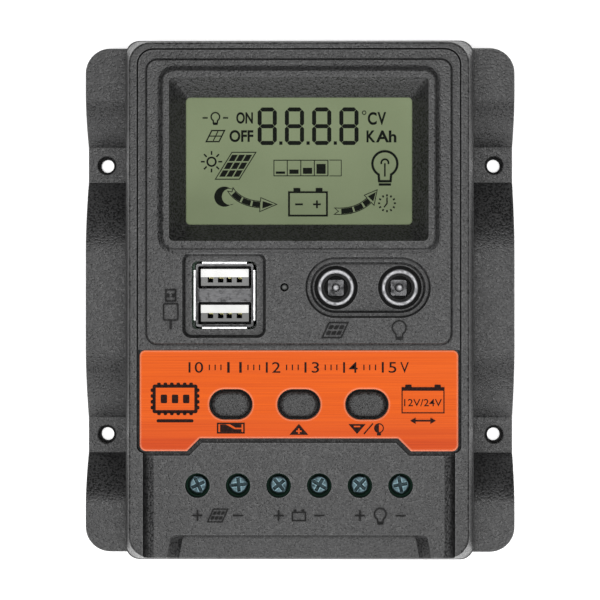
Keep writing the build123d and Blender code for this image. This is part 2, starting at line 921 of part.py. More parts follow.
def terminal_screw(x, turn):
    low = head_seat_z + 0.02
    head = rod(term_head, low, low + term_head_high, x, pole_y)
    head = fillet(head.faces().sort_by(Axis.Z)[-1].edges(), 0.5)
    shank = rod(term_shank, term_tip_z, low, x, pole_y)
    shank = chamfer(shank.faces().sort_by(Axis.Z)[0].edges(), 0.4)
    body = head + shank
    top = low + term_head_high
    for angle in (turn, turn + 90):
        arm = extrude(
            Pos(x, pole_y, top - cross_deep) * Rot(0, 0, angle) * Rectangle(cross_long, cross_width),
            amount=cross_deep,
        )
        body -= arm
    blade = extrude(
        Pos(x, pole_y, top - 0.45) * Rot(0, 0, turn) * Rectangle(term_head + 1, 0.6), amount=0.45
    )
    return body - blade


# ------------------------------------------------------------------ boards and what stands on them
def main_board():
    body = span(
        -main_board_half, main_board_half, main_board_end_y, main_board_top_y, main_board_low, main_board_top
    )
    for x, y in corners:
        body -= rod(2 * (boss_radius + boss_relief), main_board_low, main_board_top, x, y)
        body -= span(
            min(x, x + 20 * (1 if x > 0 else -1)),
            max(x, x + 20 * (1 if x > 0 else -1)),
            min(y, y + 20 * (1 if y > 0 else -1)),
            max(y, y + 20 * (1 if y > 0 else -1)),
            main_board_low,
            main_board_top,
        )
    for x, y in standoffs:
        body -= rod(board_screw_core + 0.3, main_board_low, main_board_top, x, y)
    back = block_back_y - block_back_wall
    for x in pole_x:
        body -= slab(
            bar_pin_width + 0.3, bar_thick + 0.3, main_board_low, main_board_top, x, back - bar_thick / 2
        )
    for x in header_pin_places():
        body -= rod(header_pin + 0.4, main_board_low, main_board_top, header_x, x)
    for x in mosfet_x:
        for leg in (-1, 0, 1):
            y = sink_y - sink_thick / 2 - pad_thick - tab_thick - mosfet_leg / 2
            body -= rod(mosfet_leg + 0.5, main_board_low, main_board_top, x + leg * 2.54, y)
    return body


def display_board():
    body = span(
        -display_board_width / 2,
        display_board_width / 2,
        display_board_low_y,
        display_board_high_y,
        display_board_low,
        display_board_top,
    )
    for x, y in corners:
        body -= rod(2 * (boss_radius + boss_relief), display_board_low, display_board_top, x, y)
        body -= span(
            min(x, x + 20 * (1 if x > 0 else -1)),
            max(x, x + 20 * (1 if x > 0 else -1)),
            min(y, y + 20 * (1 if y > 0 else -1)),
            max(y, y + 20 * (1 if y > 0 else -1)),
            display_board_low,
            display_board_top,
        )
    body -= slab(
        socket_shell_width + 2 * cutout_gap,
        socket_shell_length + 2 * cutout_gap,
        display_board_low,
        display_board_top,
        socket_x,
        socket_y,
        corner=1,
    )
    for x in jack_xs:
        body -= slab(
            jack_body + 0.4, jack_body + 0.4, display_board_low, display_board_top, x, jack_y, corner=1
        )
    for x, y in panel_posts:
        body -= rod(board_screw_core + 0.3, display_board_low, display_board_top, x, y)
    for x in button_xs:
        for sx in (-1, 1):
            for sy in (-1, 1):
                body -= slab(
                    0.8,
                    switch_leg + 0.4,
                    display_board_low,
                    display_board_top,
                    x + sx * (switch_size / 2 + 0.35),
                    button_y + sy * 2.25,
                )
    for x, y in lcd_pin_places():
        body -= rod(lcd_pin + 0.4, display_board_low, display_board_top, x, y)
    for y in header_pin_places():
        body -= rod(header_pin + 0.4, display_board_low, display_board_top, header_x, y)
    for sx in (-1, 1):
        body -= rod(0.9, display_board_low, display_board_top, led_x + sx * 0.9, led_y)
    return body


def screw_down(x, y, seat_z, core, head, head_high, depth):
    """Pan-head self-tapping screw standing on seat_z and pointing down."""
    cap = rod(head, seat_z, seat_z + head_high, x, y)
    cap = fillet(cap.faces().sort_by(Axis.Z)[-1].edges(), head_high * 0.4)
    body = cap + rod(core, seat_z - depth, seat_z, x, y)
    for angle in (0, 90):
        body -= extrude(
            Pos(x, y, seat_z + head_high * 0.4) * Rot(0, 0, angle + 20) * Rectangle(head * 0.55, 0.6),
            amount=head_high,
        )
    return body


def screw_up(x, y, seat_z, core, head, head_high, depth):
    """The same screw pointing up, with its head under seat_z."""
    body = screw_down(0, 0, 0, core, head, head_high, depth)
    return Pos(x, y, seat_z) * Rot(180, 0, 0) * body


def lcd_pin_places():
    places = []
    for sy in (-1, 1):
        y = lcd_y + sy * (lcd_rear_length / 2 + lcd_pin_gap + lcd_pin / 2)
        for i in range(lcd_pin_count):
            places.append(((i - (lcd_pin_count - 1) / 2) * lcd_pin_pitch, y))
    return places


def header_pin_places():
    return [header_y + (i - (header_pins - 1) / 2) * header_pitch for i in range(header_pins)]


def lcd_cell():
    rear = slab(lcd_width, lcd_rear_length, lcd_low_z, lcd_low_z + lcd_glass, 0, lcd_y)
    front = slab(lcd_width, lcd_front_length, lcd_low_z + lcd_glass, lcd_top_z, 0, lcd_y)
    return group([rear, front])


def light_guide():
    high = lcd_low_z - light_guide_inset
    body = slab(light_guide_width, light_guide_length, display_board_top, high, 0, lcd_y, corner=1)
    return chamfer(body.faces().sort_by(Axis.Z)[-1].edges(), 0.4)


def lcd_pins():
    return group(
        [rod(lcd_pin, display_board_low - 1.2, lcd_low_z + lcd_glass, x, y) for x, y in lcd_pin_places()]
    )


# ------------------------------------------------------------------ twin charging socket
def port_centre(which):
    """Y of a port's middle; which is 1 for the upper and -1 for the lower."""
    return socket_y + which * port_spacing / 2


def socket_shell():
    body = slab(
        socket_shell_width, socket_shell_length, main_board_top, socket_lip_z - 1.0, socket_x, socket_y, 0.6
    )
    for which in (-1, 1):
        body -= slab(
            port_width, port_high, port_floor_z, socket_lip_z, socket_x, port_centre(which), corner=0.4
        )
    divider = port_spacing - port_high
    body -= slab(port_width, divider, socket_lip_z - 1.0 - divider_sunk, socket_lip_z, socket_x, socket_y)
    body -= slab(
        port_width, socket_shell_length - 1.0, main_board_top, port_floor_z - 0.6, socket_x, socket_y, 0.4
    )
    return body + socket_lips()


def socket_lips():
    """Four flared lips round the mouth, one on each side, with open corners between them."""
    mouth_z = socket_lip_z - 1.0
    lips = []
    sides = [
        (socket_shell_width, socket_shell_length, 0),
        (socket_shell_length, socket_shell_width, 90),
    ]
    for across, along, turn in sides:
        half = along / 2
        profile = make_face(
            Polyline(
                (0, half - socket_lip_thick, mouth_z),
                (0, half, mouth_z),
                (0, half + socket_lip_out, socket_lip_z),
                (0, half + socket_lip_out - socket_lip_thick, socket_lip_z),
                close=True,
            )
        )
        long = across - 2 * socket_lip_corner
        lip = extrude(Pos(-long / 2, 0, 0) * profile, amount=long, dir=(1, 0, 0))
        for flip in (0, 180):
            lips.append(Pos(socket_x, socket_y, 0) * Rot(0, 0, turn + flip) * lip)
    return lips


def socket_insulator():
    """White moulding: a base inside the shell and a tongue with a contact comb in each port."""
    body = slab(
        port_width - 0.2, socket_shell_length - 1.4, main_board_top, port_floor_z - 0.8, socket_x, socket_y
    )
    pieces = [body]
    for which in (-1, 1):
        top = port_centre(which) + port_high / 2 - tongue_gap
        tongue = span(
            socket_x - tongue_width / 2,
            socket_x + tongue_width / 2,
            top - tongue_thick,
            top,
            port_floor_z,
            tongue_high_z,
        )
        comb = span(
            socket_x - tongue_width / 2,
            socket_x + tongue_width / 2,
            top - tongue_thick - comb_thick,
            top - tongue_thick,
            port_floor_z,
            tongue_high_z - comb_sunk,
        )
        for x in contact_x:
            comb -= slab(
                contact_slot,
                contact_slot_high,
                port_floor_z,
                tongue_high_z,
                socket_x + x,
                top - tongue_thick - contact_slot_high / 2,
            )
        pieces.append(tongue + comb)
    return group(pieces)


def socket_contacts():
    pieces = []
    for which in (-1, 1):
        top = port_centre(which) + port_high / 2 - tongue_gap
        for x in contact_x:
            pieces.append(
                span(
                    socket_x + x - contact_width / 2,
                    socket_x + x + contact_width / 2,
                    top - tongue_thick - contact_thick,
                    top - tongue_thick,
                    port_floor_z,
                    tongue_high_z - contact_sunk,
                )
            )
    return group(pieces)


# ------------------------------------------------------------------ barrel jacks
def jack_moulding(x):
    body = slab(jack_body, jack_body, jack_body_low_z, jack_body_high_z, x, jack_y, corner=0.6)
    for sx in (-1, 1):
        body += span(
            x - 2,
            x + 2,
            jack_y + min(sx * (jack_body / 2 - 0.5), sx * (jack_body / 2 + jack_tab)),
            jack_y + max(sx * (jack_body / 2 - 0.5), sx * (jack_body / 2 + jack_tab)),
            display_board_top,
            display_board_top + jack_tab_thick,
        )
    body -= rod(jack_ring_outer, jack_ring_low_z, jack_body_high_z, x, jack_y)
    body += rod(jack_ring_inner, jack_ring_low_z, jack_liner_high_z, x, jack_y)
    body -= rod(jack_liner_inner, jack_pin_base_z - 1.2, jack_liner_high_z, x, jack_y)
    return body - rod(jack_pin, jack_body_low_z, jack_pin_base_z, x, jack_y)


def jack_ring(x):
    ring = rod(jack_ring_outer, jack_ring_low_z, jack_ring_high_z, x, jack_y)
    ring -= rod(jack_ring_inner, jack_ring_low_z, jack_ring_high_z, x, jack_y)
    return fillet(ring.faces().sort_by(Axis.Z)[-1].edges(), jack_ring_round)


def jack_centre_pin(x):
    pin = rod(jack_pin, jack_leg_low_z, jack_pin_high_z, x, jack_y)
    pin = fillet(pin.faces().sort_by(Axis.Z)[-1].edges(), 0.7)
    return pin + slab(
        jack_pin_base, jack_pin_base, jack_pin_base_z - 1.2, jack_pin_base_z, x, jack_y, corner=0.5
    )


# ------------------------------------------------------------------ indicator
def indicator():
    body = rod(led_body, led_low_z, led_high_z, led_x, led_y)
    body = fillet(body.faces().sort_by(Axis.Z)[-1].edges(), led_body / 2 - 0.15)
    body += rod(led_flange, led_low_z, led_low_z + 0.9, led_x, led_y)
    for sx in (-1, 1):
        body += rod(0.5, display_board_low - 1.2, led_low_z, led_x + sx * 0.9, led_y)
    return body


# ------------------------------------------------------------------ power parts
def heat_sink():
    """Aluminium bar behind the transistors, with a foot along the board."""
    bar = slab(sink_length, sink_thick, main_board_top, main_board_top + sink_high, 0, sink_y)
    foot = span(
        -sink_length / 2,
        sink_length / 2,
        sink_y,
        sink_y + 8,
        main_board_top,
        main_board_top + sink_thick * 0.8,
    )
    body = bar + foot
    for x in mosfet_x:
        body -= rod_y(3.0, sink_y - 5, sink_y + 5, x, main_board_top + mosfet_lift + mosfet_bolt_z)
    return body


def mosfet(x):
    face = sink_y - sink_thick / 2 - pad_thick
    low = main_board_top + mosfet_lift
    tab = span(x - mosfet_width / 2, x + mosfet_width / 2, face - tab_thick, face, low, low + mosfet_body_high)
    body = span(
        x - mosfet_width / 2,
        x + mosfet_width / 2,
        face - mosfet_thick,
        face - tab_thick,
        low,
        low + mosfet_body_high,
    )
    piece = tab + body
    piece -= rod_y(3.2, face - 6, face + 1, x, low + mosfet_bolt_z)
    for leg in (-1, 0, 1):
        y = face - tab_thick - mosfet_leg / 2
        piece += slab(mosfet_leg, mosfet_leg, main_board_low - 1.2, low, x + leg * 2.54, y)
    return piece


def mosfet_bolt(x):
    z = main_board_top + mosfet_lift + mosfet_bolt_z
    face = sink_y - sink_thick / 2 - pad_thick - mosfet_thick
    head = rod_y(5.2, face - 1.8, face, x, z)
    return head + rod_y(2.9, face, sink_y + sink_thick / 2 + 1.0, x, z)


def insulating_pads():
    face = sink_y - sink_thick / 2
    pads = []
    for x in mosfet_x:
        low = main_board_top + mosfet_lift - 0.6
        pad = span(x - 5.8, x + 5.8, face - pad_thick, face, low, low + mosfet_body_high + 1.2)
        pads.append(pad - rod_y(3.2, face - 1, face + 1, x, main_board_top + mosfet_lift + mosfet_bolt_z))
    return group(pads)


def electrolytics():
    cans = []
    for x, y, diameter, high in capacitors:
        can = rod(diameter, main_board_top + 0.2, main_board_top + high, x, y)
        cans.append(fillet(can.faces().sort_by(Axis.Z)[-1].edges(), 0.6))
    return group(cans)


def power_coil():
    """Toroid lying on the board."""
    radius = coil_high / 2
    ring = Torus(coil_diameter / 2 - radius * 0.55, radius * 0.55)
    return Pos(coil_x, coil_y, main_board_top + radius * 0.55) * ring


def cartridge_fuse():
    z = main_board_top + fuse_diameter / 2 + 1.0
    axis = Plane(origin=(fuse_x - fuse_length / 2, fuse_y, z), z_dir=(1, 0, 0))
    return extrude(axis * Circle(fuse_diameter / 2), amount=fuse_length)


def fuse_clips():
    clips = []
    z = main_board_top + fuse_diameter / 2 + 1.0
    for sx in (-1, 1):
        x = fuse_x + sx * (fuse_length / 2 - 3)
        clip = slab(4.0, fuse_diameter + 1.2, main_board_top, z + 1.5, x, fuse_y)
        axis = Plane(origin=(x - 3, fuse_y, z), z_dir=(1, 0, 0))
        clips.append(clip - extrude(axis * Circle(fuse_diameter / 2 + 0.02), amount=6))
    return group(clips)


def shunt_link():
    """Bent wire current shunt standing on the board."""
    path = FilletPolyline(
        (shunt_x - 7, shunt_y, main_board_top),
        (shunt_x - 7, shunt_y, main_board_top + 5),
        (shunt_x + 7, shunt_y, main_board_top + 5),
        (shunt_x + 7, shunt_y, main_board_top),
        radius=2.0,
    )
    section = Plane(origin=path @ 0, z_dir=path % 0) * Circle(0.8)
    return sweep(section, path=path)


def header_socket():
    long = header_pins * header_pitch
    body = slab(2.5, long, main_board_top, main_board_top + socket_strip_high, header_x, header_y)
    for y in header_pin_places():
        body -= slab(header_pin + 0.2, header_pin + 0.2, main_board_top, main_board_top + 9, header_x, y)
    return body


def header_strip():
    long = header_pins * header_pitch
    body = slab(2.5, long, header_strip_low_z, display_board_low, header_x, header_y)
    for y in header_pin_places():
        body -= slab(header_pin, header_pin, header_strip_low_z, display_board_low, header_x, y)
    return body


def header_pins_set():
    return group(
        [
            slab(header_pin, header_pin, main_board_top + 2, display_board_top + 0.8, header_x, y)
            for y in header_pin_places()
        ]
    )


def controller_chip():
    body = slab(chip_size, chip_size, display_board_top + 0.1, display_board_top + chip_thick, chip_x, chip_y)
    body = chamfer(body.faces().sort_by(Axis.Z)[-1].edges(), 0.25)
    for i in range(8):
        shift = (i - 3.5) * 0.9
        for sx in (-1, 1):
            body += slab(1.2, 0.4, display_board_top, display_board_top + 0.6,
                         chip_x + sx * (chip_size / 2 + 0.4), chip_y + shift)
            body += slab(0.4, 1.2, display_board_top, display_board_top + 0.6,
                         chip_x + shift, chip_y + sx * (chip_size / 2 + 0.4))
    return body


# ------------------------------------------------------------------ build every node
write("rear_shell", rear_shell())
write("front_shell", front_shell())
write("face_panel", face_panel())
write("label_plate", label_plate())
write("rear_label", slab(rear_label_width - 0.6, rear_label_length - 0.6,
                         rear_label_sunk - rear_label_thick, rear_label_sunk, 0, rear_label_y, corner=1.7))
write("case_screws", group([
    screw_up(x, y, counterbore_deep, case_screw_core, case_screw_head, case_screw_head_high, case_screw_length)
    for x, y in corners]))

for name, x in zip(button_names, button_xs):
    write(f"{name}_button", button_cap(x))
    write(f"{name}_switch_plunger", switch_plunger(x))
write("switch_bodies", group([switch_body(x) for x in button_xs]))
write("switch_lids", group([switch_lid(x) for x in button_xs]))
write("switch_domes", group([switch_dome(x) for x in button_xs]))
write("switch_legs", group([leg for x in button_xs for leg in switch_legs(x)]))

write("terminal_housing", terminal_housing())
write("contact_bars", group([contact_bar(x) for x in pole_x]))
for i, (name, x) in enumerate(zip(pole_names, pole_x)):
    write(f"clamp_cage_{name}", clamp_cage(x))
    write(f"terminal_screw_{name}", terminal_screw(x, (115, 5, 130, 150, 50, 100)[i]))

write("main_board", main_board())
write("display_board", display_board())
write("main_board_screws", group([
    screw_down(x, y, main_board_top, board_screw_core, board_screw_head, board_screw_head_high,
               board_screw_depth)
    for x, y in standoffs]))
write("display_board_screws", group([
    screw_up(x, y, display_board_low, board_screw_core, board_screw_head, board_screw_head_high,
             board_screw_depth)
    for x, y in panel_posts]))
write("lcd_cell", lcd_cell())
write("lcd_light_guide", light_guide())
write("lcd_pins", lcd_pins())
write("socket_shell", socket_shell())
write("socket_insulator", socket_insulator())
write("socket_contacts", socket_contacts())
for side, x in zip(("panel", "load"), jack_xs):
    write(f"{side}_jack_body", jack_moulding(x))
    write(f"{side}_jack_ring", jack_ring(x))
    write(f"{side}_jack_pin", jack_centre_pin(x))
write("status_led", indicator())
write("heat_sink", heat_sink())
write("mosfets", group([mosfet(x) for x in mosfet_x]))
write("mosfet_bolts", group([mosfet_bolt(x) for x in mosfet_x]))
write("insulating_pads", insulating_pads())
write("electrolytic_capacitors", electrolytics())
write("power_coil", power_coil())
write("cartridge_fuse", cartridge_fuse())
write("fuse_clips", fuse_clips())
write("shunt_link", shunt_link())
write("header_socket", header_socket())
write("header_strip", header_strip())
write("header_pins", header_pins_set())
write("controller_chip", controller_chip())
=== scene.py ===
"""Looks of the solar charge controller: textured black housing, brushed orange label, lit display, plated
sockets and screws.  Metres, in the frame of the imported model: +Z out of the face, +Y to the display end."""
from math import atan2, cos, pi, radians, sin
import json

import bmesh
import bpy
from mathutils import Matrix, Vector


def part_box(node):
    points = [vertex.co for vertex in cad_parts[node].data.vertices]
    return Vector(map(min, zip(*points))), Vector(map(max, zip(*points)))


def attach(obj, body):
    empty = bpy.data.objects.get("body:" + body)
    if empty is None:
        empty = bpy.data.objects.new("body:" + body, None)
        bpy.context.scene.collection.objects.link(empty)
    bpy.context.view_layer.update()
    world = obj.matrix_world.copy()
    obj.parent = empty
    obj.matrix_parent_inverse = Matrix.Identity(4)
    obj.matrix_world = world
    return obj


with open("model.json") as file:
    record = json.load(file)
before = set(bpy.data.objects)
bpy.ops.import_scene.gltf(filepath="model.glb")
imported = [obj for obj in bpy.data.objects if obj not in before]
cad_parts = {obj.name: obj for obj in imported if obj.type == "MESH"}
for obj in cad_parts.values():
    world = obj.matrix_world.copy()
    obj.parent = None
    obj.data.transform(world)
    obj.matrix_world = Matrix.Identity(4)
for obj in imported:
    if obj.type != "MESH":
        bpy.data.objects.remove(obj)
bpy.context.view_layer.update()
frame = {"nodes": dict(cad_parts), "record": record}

MM = 0.001
NODES = frame["nodes"]


# ------------------------------------------------------------------ places taken from the frame
def middle(name):
    low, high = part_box(name)
    return (low + high) / 2


def top(name):
    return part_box(name)[1].z


ISLAND_RISE = 1.0 * MM
DECK_RISE = 3.8 * MM
ISLAND_Z = top("front_shell") + ISLAND_RISE
LABEL_Z = top("label_plate")
GLASS_Z = top("lcd_cell")
DECK_Z = top("terminal_housing") + DECK_RISE
BUTTONS = [middle(f"{name}_button") for name in ("mode", "up", "down")]
POLES = ["panel_pos", "panel_neg", "battery_pos", "battery_neg", "load_pos", "load_neg"]
SCREWS = [middle(f"terminal_screw_{name}") for name in POLES]
JACKS = [middle(f"{name}_jack_ring") for name in ("panel", "load")]
SOCKET = middle("socket_shell")
# Wall holes, and the radii of the painted shade ring round their axes.
WALL_HOLE = (47.4 * MM, 32.9 * MM)
WELL_INNER, WELL_OUTER = 2.2 * MM, 2.5 * MM


# ------------------------------------------------------------------ node materials
class Value:
    """A shader output; arithmetic on it adds Math nodes to its finish."""

    def __init__(self, finish, socket):
        self.finish = finish
        self.socket = socket

    def math(self, operation, *values):
        return self.finish.add("ShaderNodeMath", {"operation": operation}, *values)

    def __add__(self, other):
        return self.math("ADD", self, other)

    def __sub__(self, other):
        return self.math("SUBTRACT", self, other)

    def __mul__(self, other):
        return self.math("MULTIPLY", self, other)

    def __gt__(self, other):
        return self.math("GREATER_THAN", self, other)

    def __abs__(self):
        return self.math("ABSOLUTE", self)

    def between(self, low, high, out_low=0.0, out_high=1.0):
        """Smoothly maps low..high to out_low..out_high, held at both ends."""
        settings = {"interpolation_type": "SMOOTHSTEP"}
        return self.finish.add("ShaderNodeMapRange", settings, self, low, high, out_low, out_high)


SHADE_SAMPLES = 6


class Finish:
    """One node material round a Principled shader; constants stand on the shader's own sockets."""

    def __init__(self, name, **constants):
        self.material = bpy.data.materials.new(name)
        self.material.use_nodes = True
        self.tree = self.material.node_tree
        self.shader = self.tree.nodes["Principled BSDF"]
        self.feed(**constants)
        self.places = self.add("ShaderNodeTexCoord", out="Object")

    def add(self, kind, settings=None, *values, out=0, **named):
        """Adds a node: its settings first, then its sockets in order or by name; returns one output."""
        node = self.tree.nodes.new(kind)
        for key, value in (settings or {}).items():
            if key == "stops":
                self.fill_ramp(node.color_ramp, value)
            else:
                setattr(node, key, value)
        for index, value in enumerate(values):
            self.plug(node.inputs[index], value)
        for key, value in named.items():
            self.plug(self.find(node.inputs, key.replace("_", " ")), value)
        return Value(self, self.find(node.outputs, out) if isinstance(out, str) else node.outputs[out])

    @staticmethod
    def find(sockets, name):
        return next(s for s in sockets if s.name.lower() == name.lower() and s.enabled)

    @staticmethod
    def fill_ramp(ramp, stops):
        while len(ramp.elements) < len(stops):
            ramp.elements.new(0.5)
        for element, (position, colour) in zip(ramp.elements, stops):
            element.position = position
            element.color = (*colour, 1)

    def plug(self, socket, value):
        if isinstance(value, Value):
            self.tree.links.new(value.socket, socket)
        elif value is not None:
            socket.default_value = value

    def noise(self, scale, detail=2.0, roughness=0.5, places=None):
        return self.add("ShaderNodeTexNoise", {"noise_dimensions": "3D"}, vector=places or self.places,
                        scale=scale, detail=detail, roughness=roughness)

    def cells(self, scale):
        """Distance to the middle of the nearest random cell."""
        return self.add("ShaderNodeTexVoronoi", {"feature": "F1"}, vector=self.places, scale=scale,
                        out="Distance")

    def stretched(self, x, y, z):
        """Object coordinates scaled along each axis, for streaks."""
        return self.add("ShaderNodeMapping", {"vector_type": "POINT"}, vector=self.places, scale=(x, y, z))

    def mix(self, factor, first, second):
        """Mixes two colours."""
        node = self.tree.nodes.new("ShaderNodeMix")
        node.data_type = "RGBA"
        sockets = [s for s in node.inputs if s.enabled]
        for socket, value in zip(sockets, (factor, first, second)):
            self.plug(socket, (*value, 1) if isinstance(value, tuple) else value)
        return Value(self, next(s for s in node.outputs if s.enabled))

    def axis(self, letter):
        """One object coordinate, in metres."""
        return self.add("ShaderNodeSeparateXYZ", None, self.places, out=letter)

    def corners(self, reach, low, high):
        """1 deep in inner corners and gaps, 0 in the open."""
        settings = {"samples": SHADE_SAMPLES}
        open_share = self.add("ShaderNodeAmbientOcclusion", settings, distance=reach, out="AO")
        return open_share.between(low, high, 1.0, 0.0)

    def rims(self, reach, low, high):
        """1 along sharp outer edges, 0 on flats."""
        settings = {"samples": SHADE_SAMPLES, "inside": True, "only_local": True}
        solid_share = self.add("ShaderNodeAmbientOcclusion", settings, distance=reach, out="AO")
        return solid_share.between(low, high, 1.0, 0.0)

    def feed(self, **links):
        """Gives the shader's sockets a node's output or a constant."""
        for socket, value in links.items():
            self.plug(self.find(self.shader.inputs, socket.replace("_", " ")), value)
        return self

    def bump(self, *layers):
        """Stacks bumps; each layer is (height, depth in metres, strength)."""
        normal = None
        for height, depth, strength in layers:
            normal = self.add("ShaderNodeBump", None, strength=strength, distance=depth, height=height,
                              normal=normal)
        return self.feed(normal=normal)


def textured_plastic(name, dark, light, grain=2050.0, depth=0.17, roughness=0.33, dirt_and_shade=0.6):
    """Spark-eroded black plastic: grain, slight clouding, dust specks, painted shade in corners, gaps and
    wall holes, and rubbed edges with a painted highlight.
    """
    finish = Finish(name, specular_ior_level=0.25)
    fine = finish.noise(grain, detail=1, roughness=0.6)
    coarse = finish.noise(grain / 2.6, detail=2, roughness=0.55)
    cloud = finish.noise(55, detail=3)
    specks = finish.cells(900).between(0.07, 0.03)
    patchy = finish.noise(210, detail=1).between(0.55, 0.7)
    hole_x, hole_y = WALL_HOLE
    across = abs(finish.axis("X")) - hole_x
    along = abs(finish.axis("Y")) - hole_y
    # Painted shade: a dark ring in each wall hole.
    hole_shade = (across * across + along * along).between(WELL_INNER ** 2, WELL_OUTER ** 2, 1.0, 0.0)
    # Painted shade in inner corners and gaps, from an occlusion mask.
    corners = finish.corners(1.2 * MM, 0.45, 0.95) * dirt_and_shade
    painted_shade = corners.math("MAXIMUM", corners, hole_shade)
    # Sharp outer edges lighter: partly rubbed wear, partly a painted highlight.
    wear_and_highlight = finish.rims(0.45 * MM, 0.55, 0.9) * coarse.between(0.3, 0.5, 0.4, 1.0)
    tone = finish.mix(fine.between(0.38, 0.62), dark, light)
    tone = finish.mix(cloud.between(0.3, 0.75) * 0.25, tone, tuple(c * 1.2 for c in light))
    tone = finish.mix(specks * patchy * 0.5, tone, (0.3, 0.3, 0.31))
    tone = finish.mix(wear_and_highlight * 0.55, tone, tuple(c * 2.4 for c in light))
    # Painted shade: corners, gaps and wall holes darkened.
    tone = finish.mix(painted_shade, tone, tuple(c * 0.3 for c in dark))
    sheen = fine.between(0.3, 0.7, roughness - 0.1, roughness + 0.2)
    finish.feed(base_color=tone, roughness=sheen + painted_shade * 0.4)
    return finish.bump((coarse, depth * 0.5 * MM, 0.4), (fine, depth * MM, 1.0)).material


def brushed_label():
    """Anodised plate, tinted orange and brushed from side to side, with a pale cut edge; painted shade makes
    its lower part darker and redder.
    """
    finish = Finish("brushed_orange", specular_ior_level=0.04)
    streaks = finish.noise(1.0, detail=4, roughness=0.65, places=finish.stretched(28, 3600, 900))
    broad = finish.noise(1.0, detail=2, places=finish.stretched(14, 520, 200))
    # Painted light: the upper part lighter, the lower part in painted shade.
    painted_top_light = finish.axis("Y").between(-0.036, -0.024)
    cut = finish.rims(0.5 * MM, 0.55, 0.95)
    upper = finish.mix(streaks.between(0.32, 0.7), (0.51, 0.068, 0.0035), (0.62, 0.096, 0.009))
    lower = finish.mix(streaks.between(0.32, 0.7), (0.385, 0.038, 0.006), (0.50, 0.060, 0.012))
    tone = finish.mix(painted_top_light, lower, upper)
    tone = finish.mix(broad.between(0.35, 0.7) * 0.25, tone, (0.67, 0.115, 0.014))
    tone = finish.mix(cut * 0.75, tone, (0.80, 0.40, 0.27))
    finish.feed(base_color=tone, roughness=streaks.between(0.3, 0.7, 0.34, 0.5))
    return finish.bump((streaks, 0.012 * MM, 0.5)).material


def plated_metal(name, tint, roughness=0.5, scratch=0.35, dirt_and_shade=0.25, streak=(300, 2600, 900), shaded_below=None,
                 shade_share=0.16):
    """Plated metal with fine drawing lines, small stains and waviness; sharp edges lighter with rubbed wear
    and a painted highlight, and painted shade below a given height.
    """
    finish = Finish(name, metallic=1.0)
    lines = finish.noise(1.0, detail=3, places=finish.stretched(*streak))
    stains = finish.noise(900, detail=3).between(0.5, 0.72)
    waves = finish.noise(420, detail=2)
    # Sharp edges lighter: partly rubbed wear, partly a painted highlight.
    wear_and_highlight = finish.rims(0.3 * MM, 0.55, 0.9)
    tone = finish.mix(lines.between(0.3, 0.7), tuple(c * 0.75 for c in tint), tint)
    tone = finish.mix(stains * dirt_and_shade, tone, tuple(c * 0.35 for c in tint))
    tone = finish.mix(wear_and_highlight * 0.7, tone, tuple(min(c * 2.6, 0.9) for c in tint))
    if shaded_below is not None:
        # Painted shade on everything below the given height.
        low_shade = finish.axis("Z").between(shaded_below - 0.15 * MM, shaded_below + 0.15 * MM, 1.0, 0.0)
        tone = finish.mix(low_shade * 0.85, tone, tuple(c * shade_share for c in tint))
    finish.feed(base_color=tone, roughness=lines.between(0.3, 0.7, roughness, roughness + scratch * 0.4)
                + stains * 0.15)
    return finish.bump((waves, 0.04 * MM, 0.35), (lines, 0.012 * MM, scratch)).material


def moulded_plastic(name, dark, light, roughness=0.35, specular=0.2, shaded_below=None):
    """Smooth moulded plastic with faint flow marks and fine dust; painted shade in corners and gaps, and
    painted shade below a given height.
    """
    finish = Finish(name, specular_ior_level=specular)
    flow = finish.noise(1.0, detail=2, places=finish.stretched(160, 160, 60))
    dust = finish.noise(4200, detail=2)
    tone = finish.mix(flow.between(0.3, 0.7), dark, light)
    tone = finish.mix(dust.between(0.5, 0.8) * 0.2, tone, tuple(min(c * 1.6, 0.9) for c in light))
    # Painted shade in inner corners and gaps, from an occlusion mask.
    tone = finish.mix(finish.corners(1.2 * MM, 0.5, 0.95) * 0.6, tone, tuple(c * 0.3 for c in dark))
    if shaded_below is not None:
        # Painted shade on everything below the given height.
        low_shade = finish.axis("Z").between(shaded_below - 0.1 * MM, shaded_below + 0.1 * MM, 1.0, 0.0)
        tone = finish.mix(low_shade, tone, tuple(c * 0.26 for c in dark))
    finish.feed(base_color=tone, roughness=dust.between(0.3, 0.75, roughness - 0.06, roughness + 0.12))
    return finish.bump((dust, 0.006 * MM, 0.4), (flow, 0.03 * MM, 0.2)).material


def display_face():
    """Reflective display glass: grey-green backing with a faint weave and soft clouding."""
    finish = Finish("display_face", specular_ior_level=0.03)
    cloud = finish.noise(60, detail=2)
    weave = finish.noise(5200, detail=1)
    tone = finish.mix(cloud.between(0.3, 0.7), (0.146, 0.177, 0.101), (0.162, 0.195, 0.113))
    tone = finish.mix(weave.between(0.35, 0.7) * 0.2, tone, (0.133, 0.161, 0.092))
    finish.feed(base_color=tone, roughness=weave.between(0.3, 0.7, 0.42, 0.55))
    return finish.bump((weave, 0.003 * MM, 0.3)).material


def ink(name, colour, light):
    """Printed or switched-on dark layer with slightly uneven cover."""
    finish = Finish(name, specular_ior_level=0.015)
    cover = finish.noise(1900, detail=3)
    finish.feed(base_color=finish.mix(cover.between(0.35, 0.75), colour, light),
                roughness=cover.between(0.3, 0.7, 0.45, 0.65))
    return finish.bump((cover, 0.004 * MM, 0.3)).material


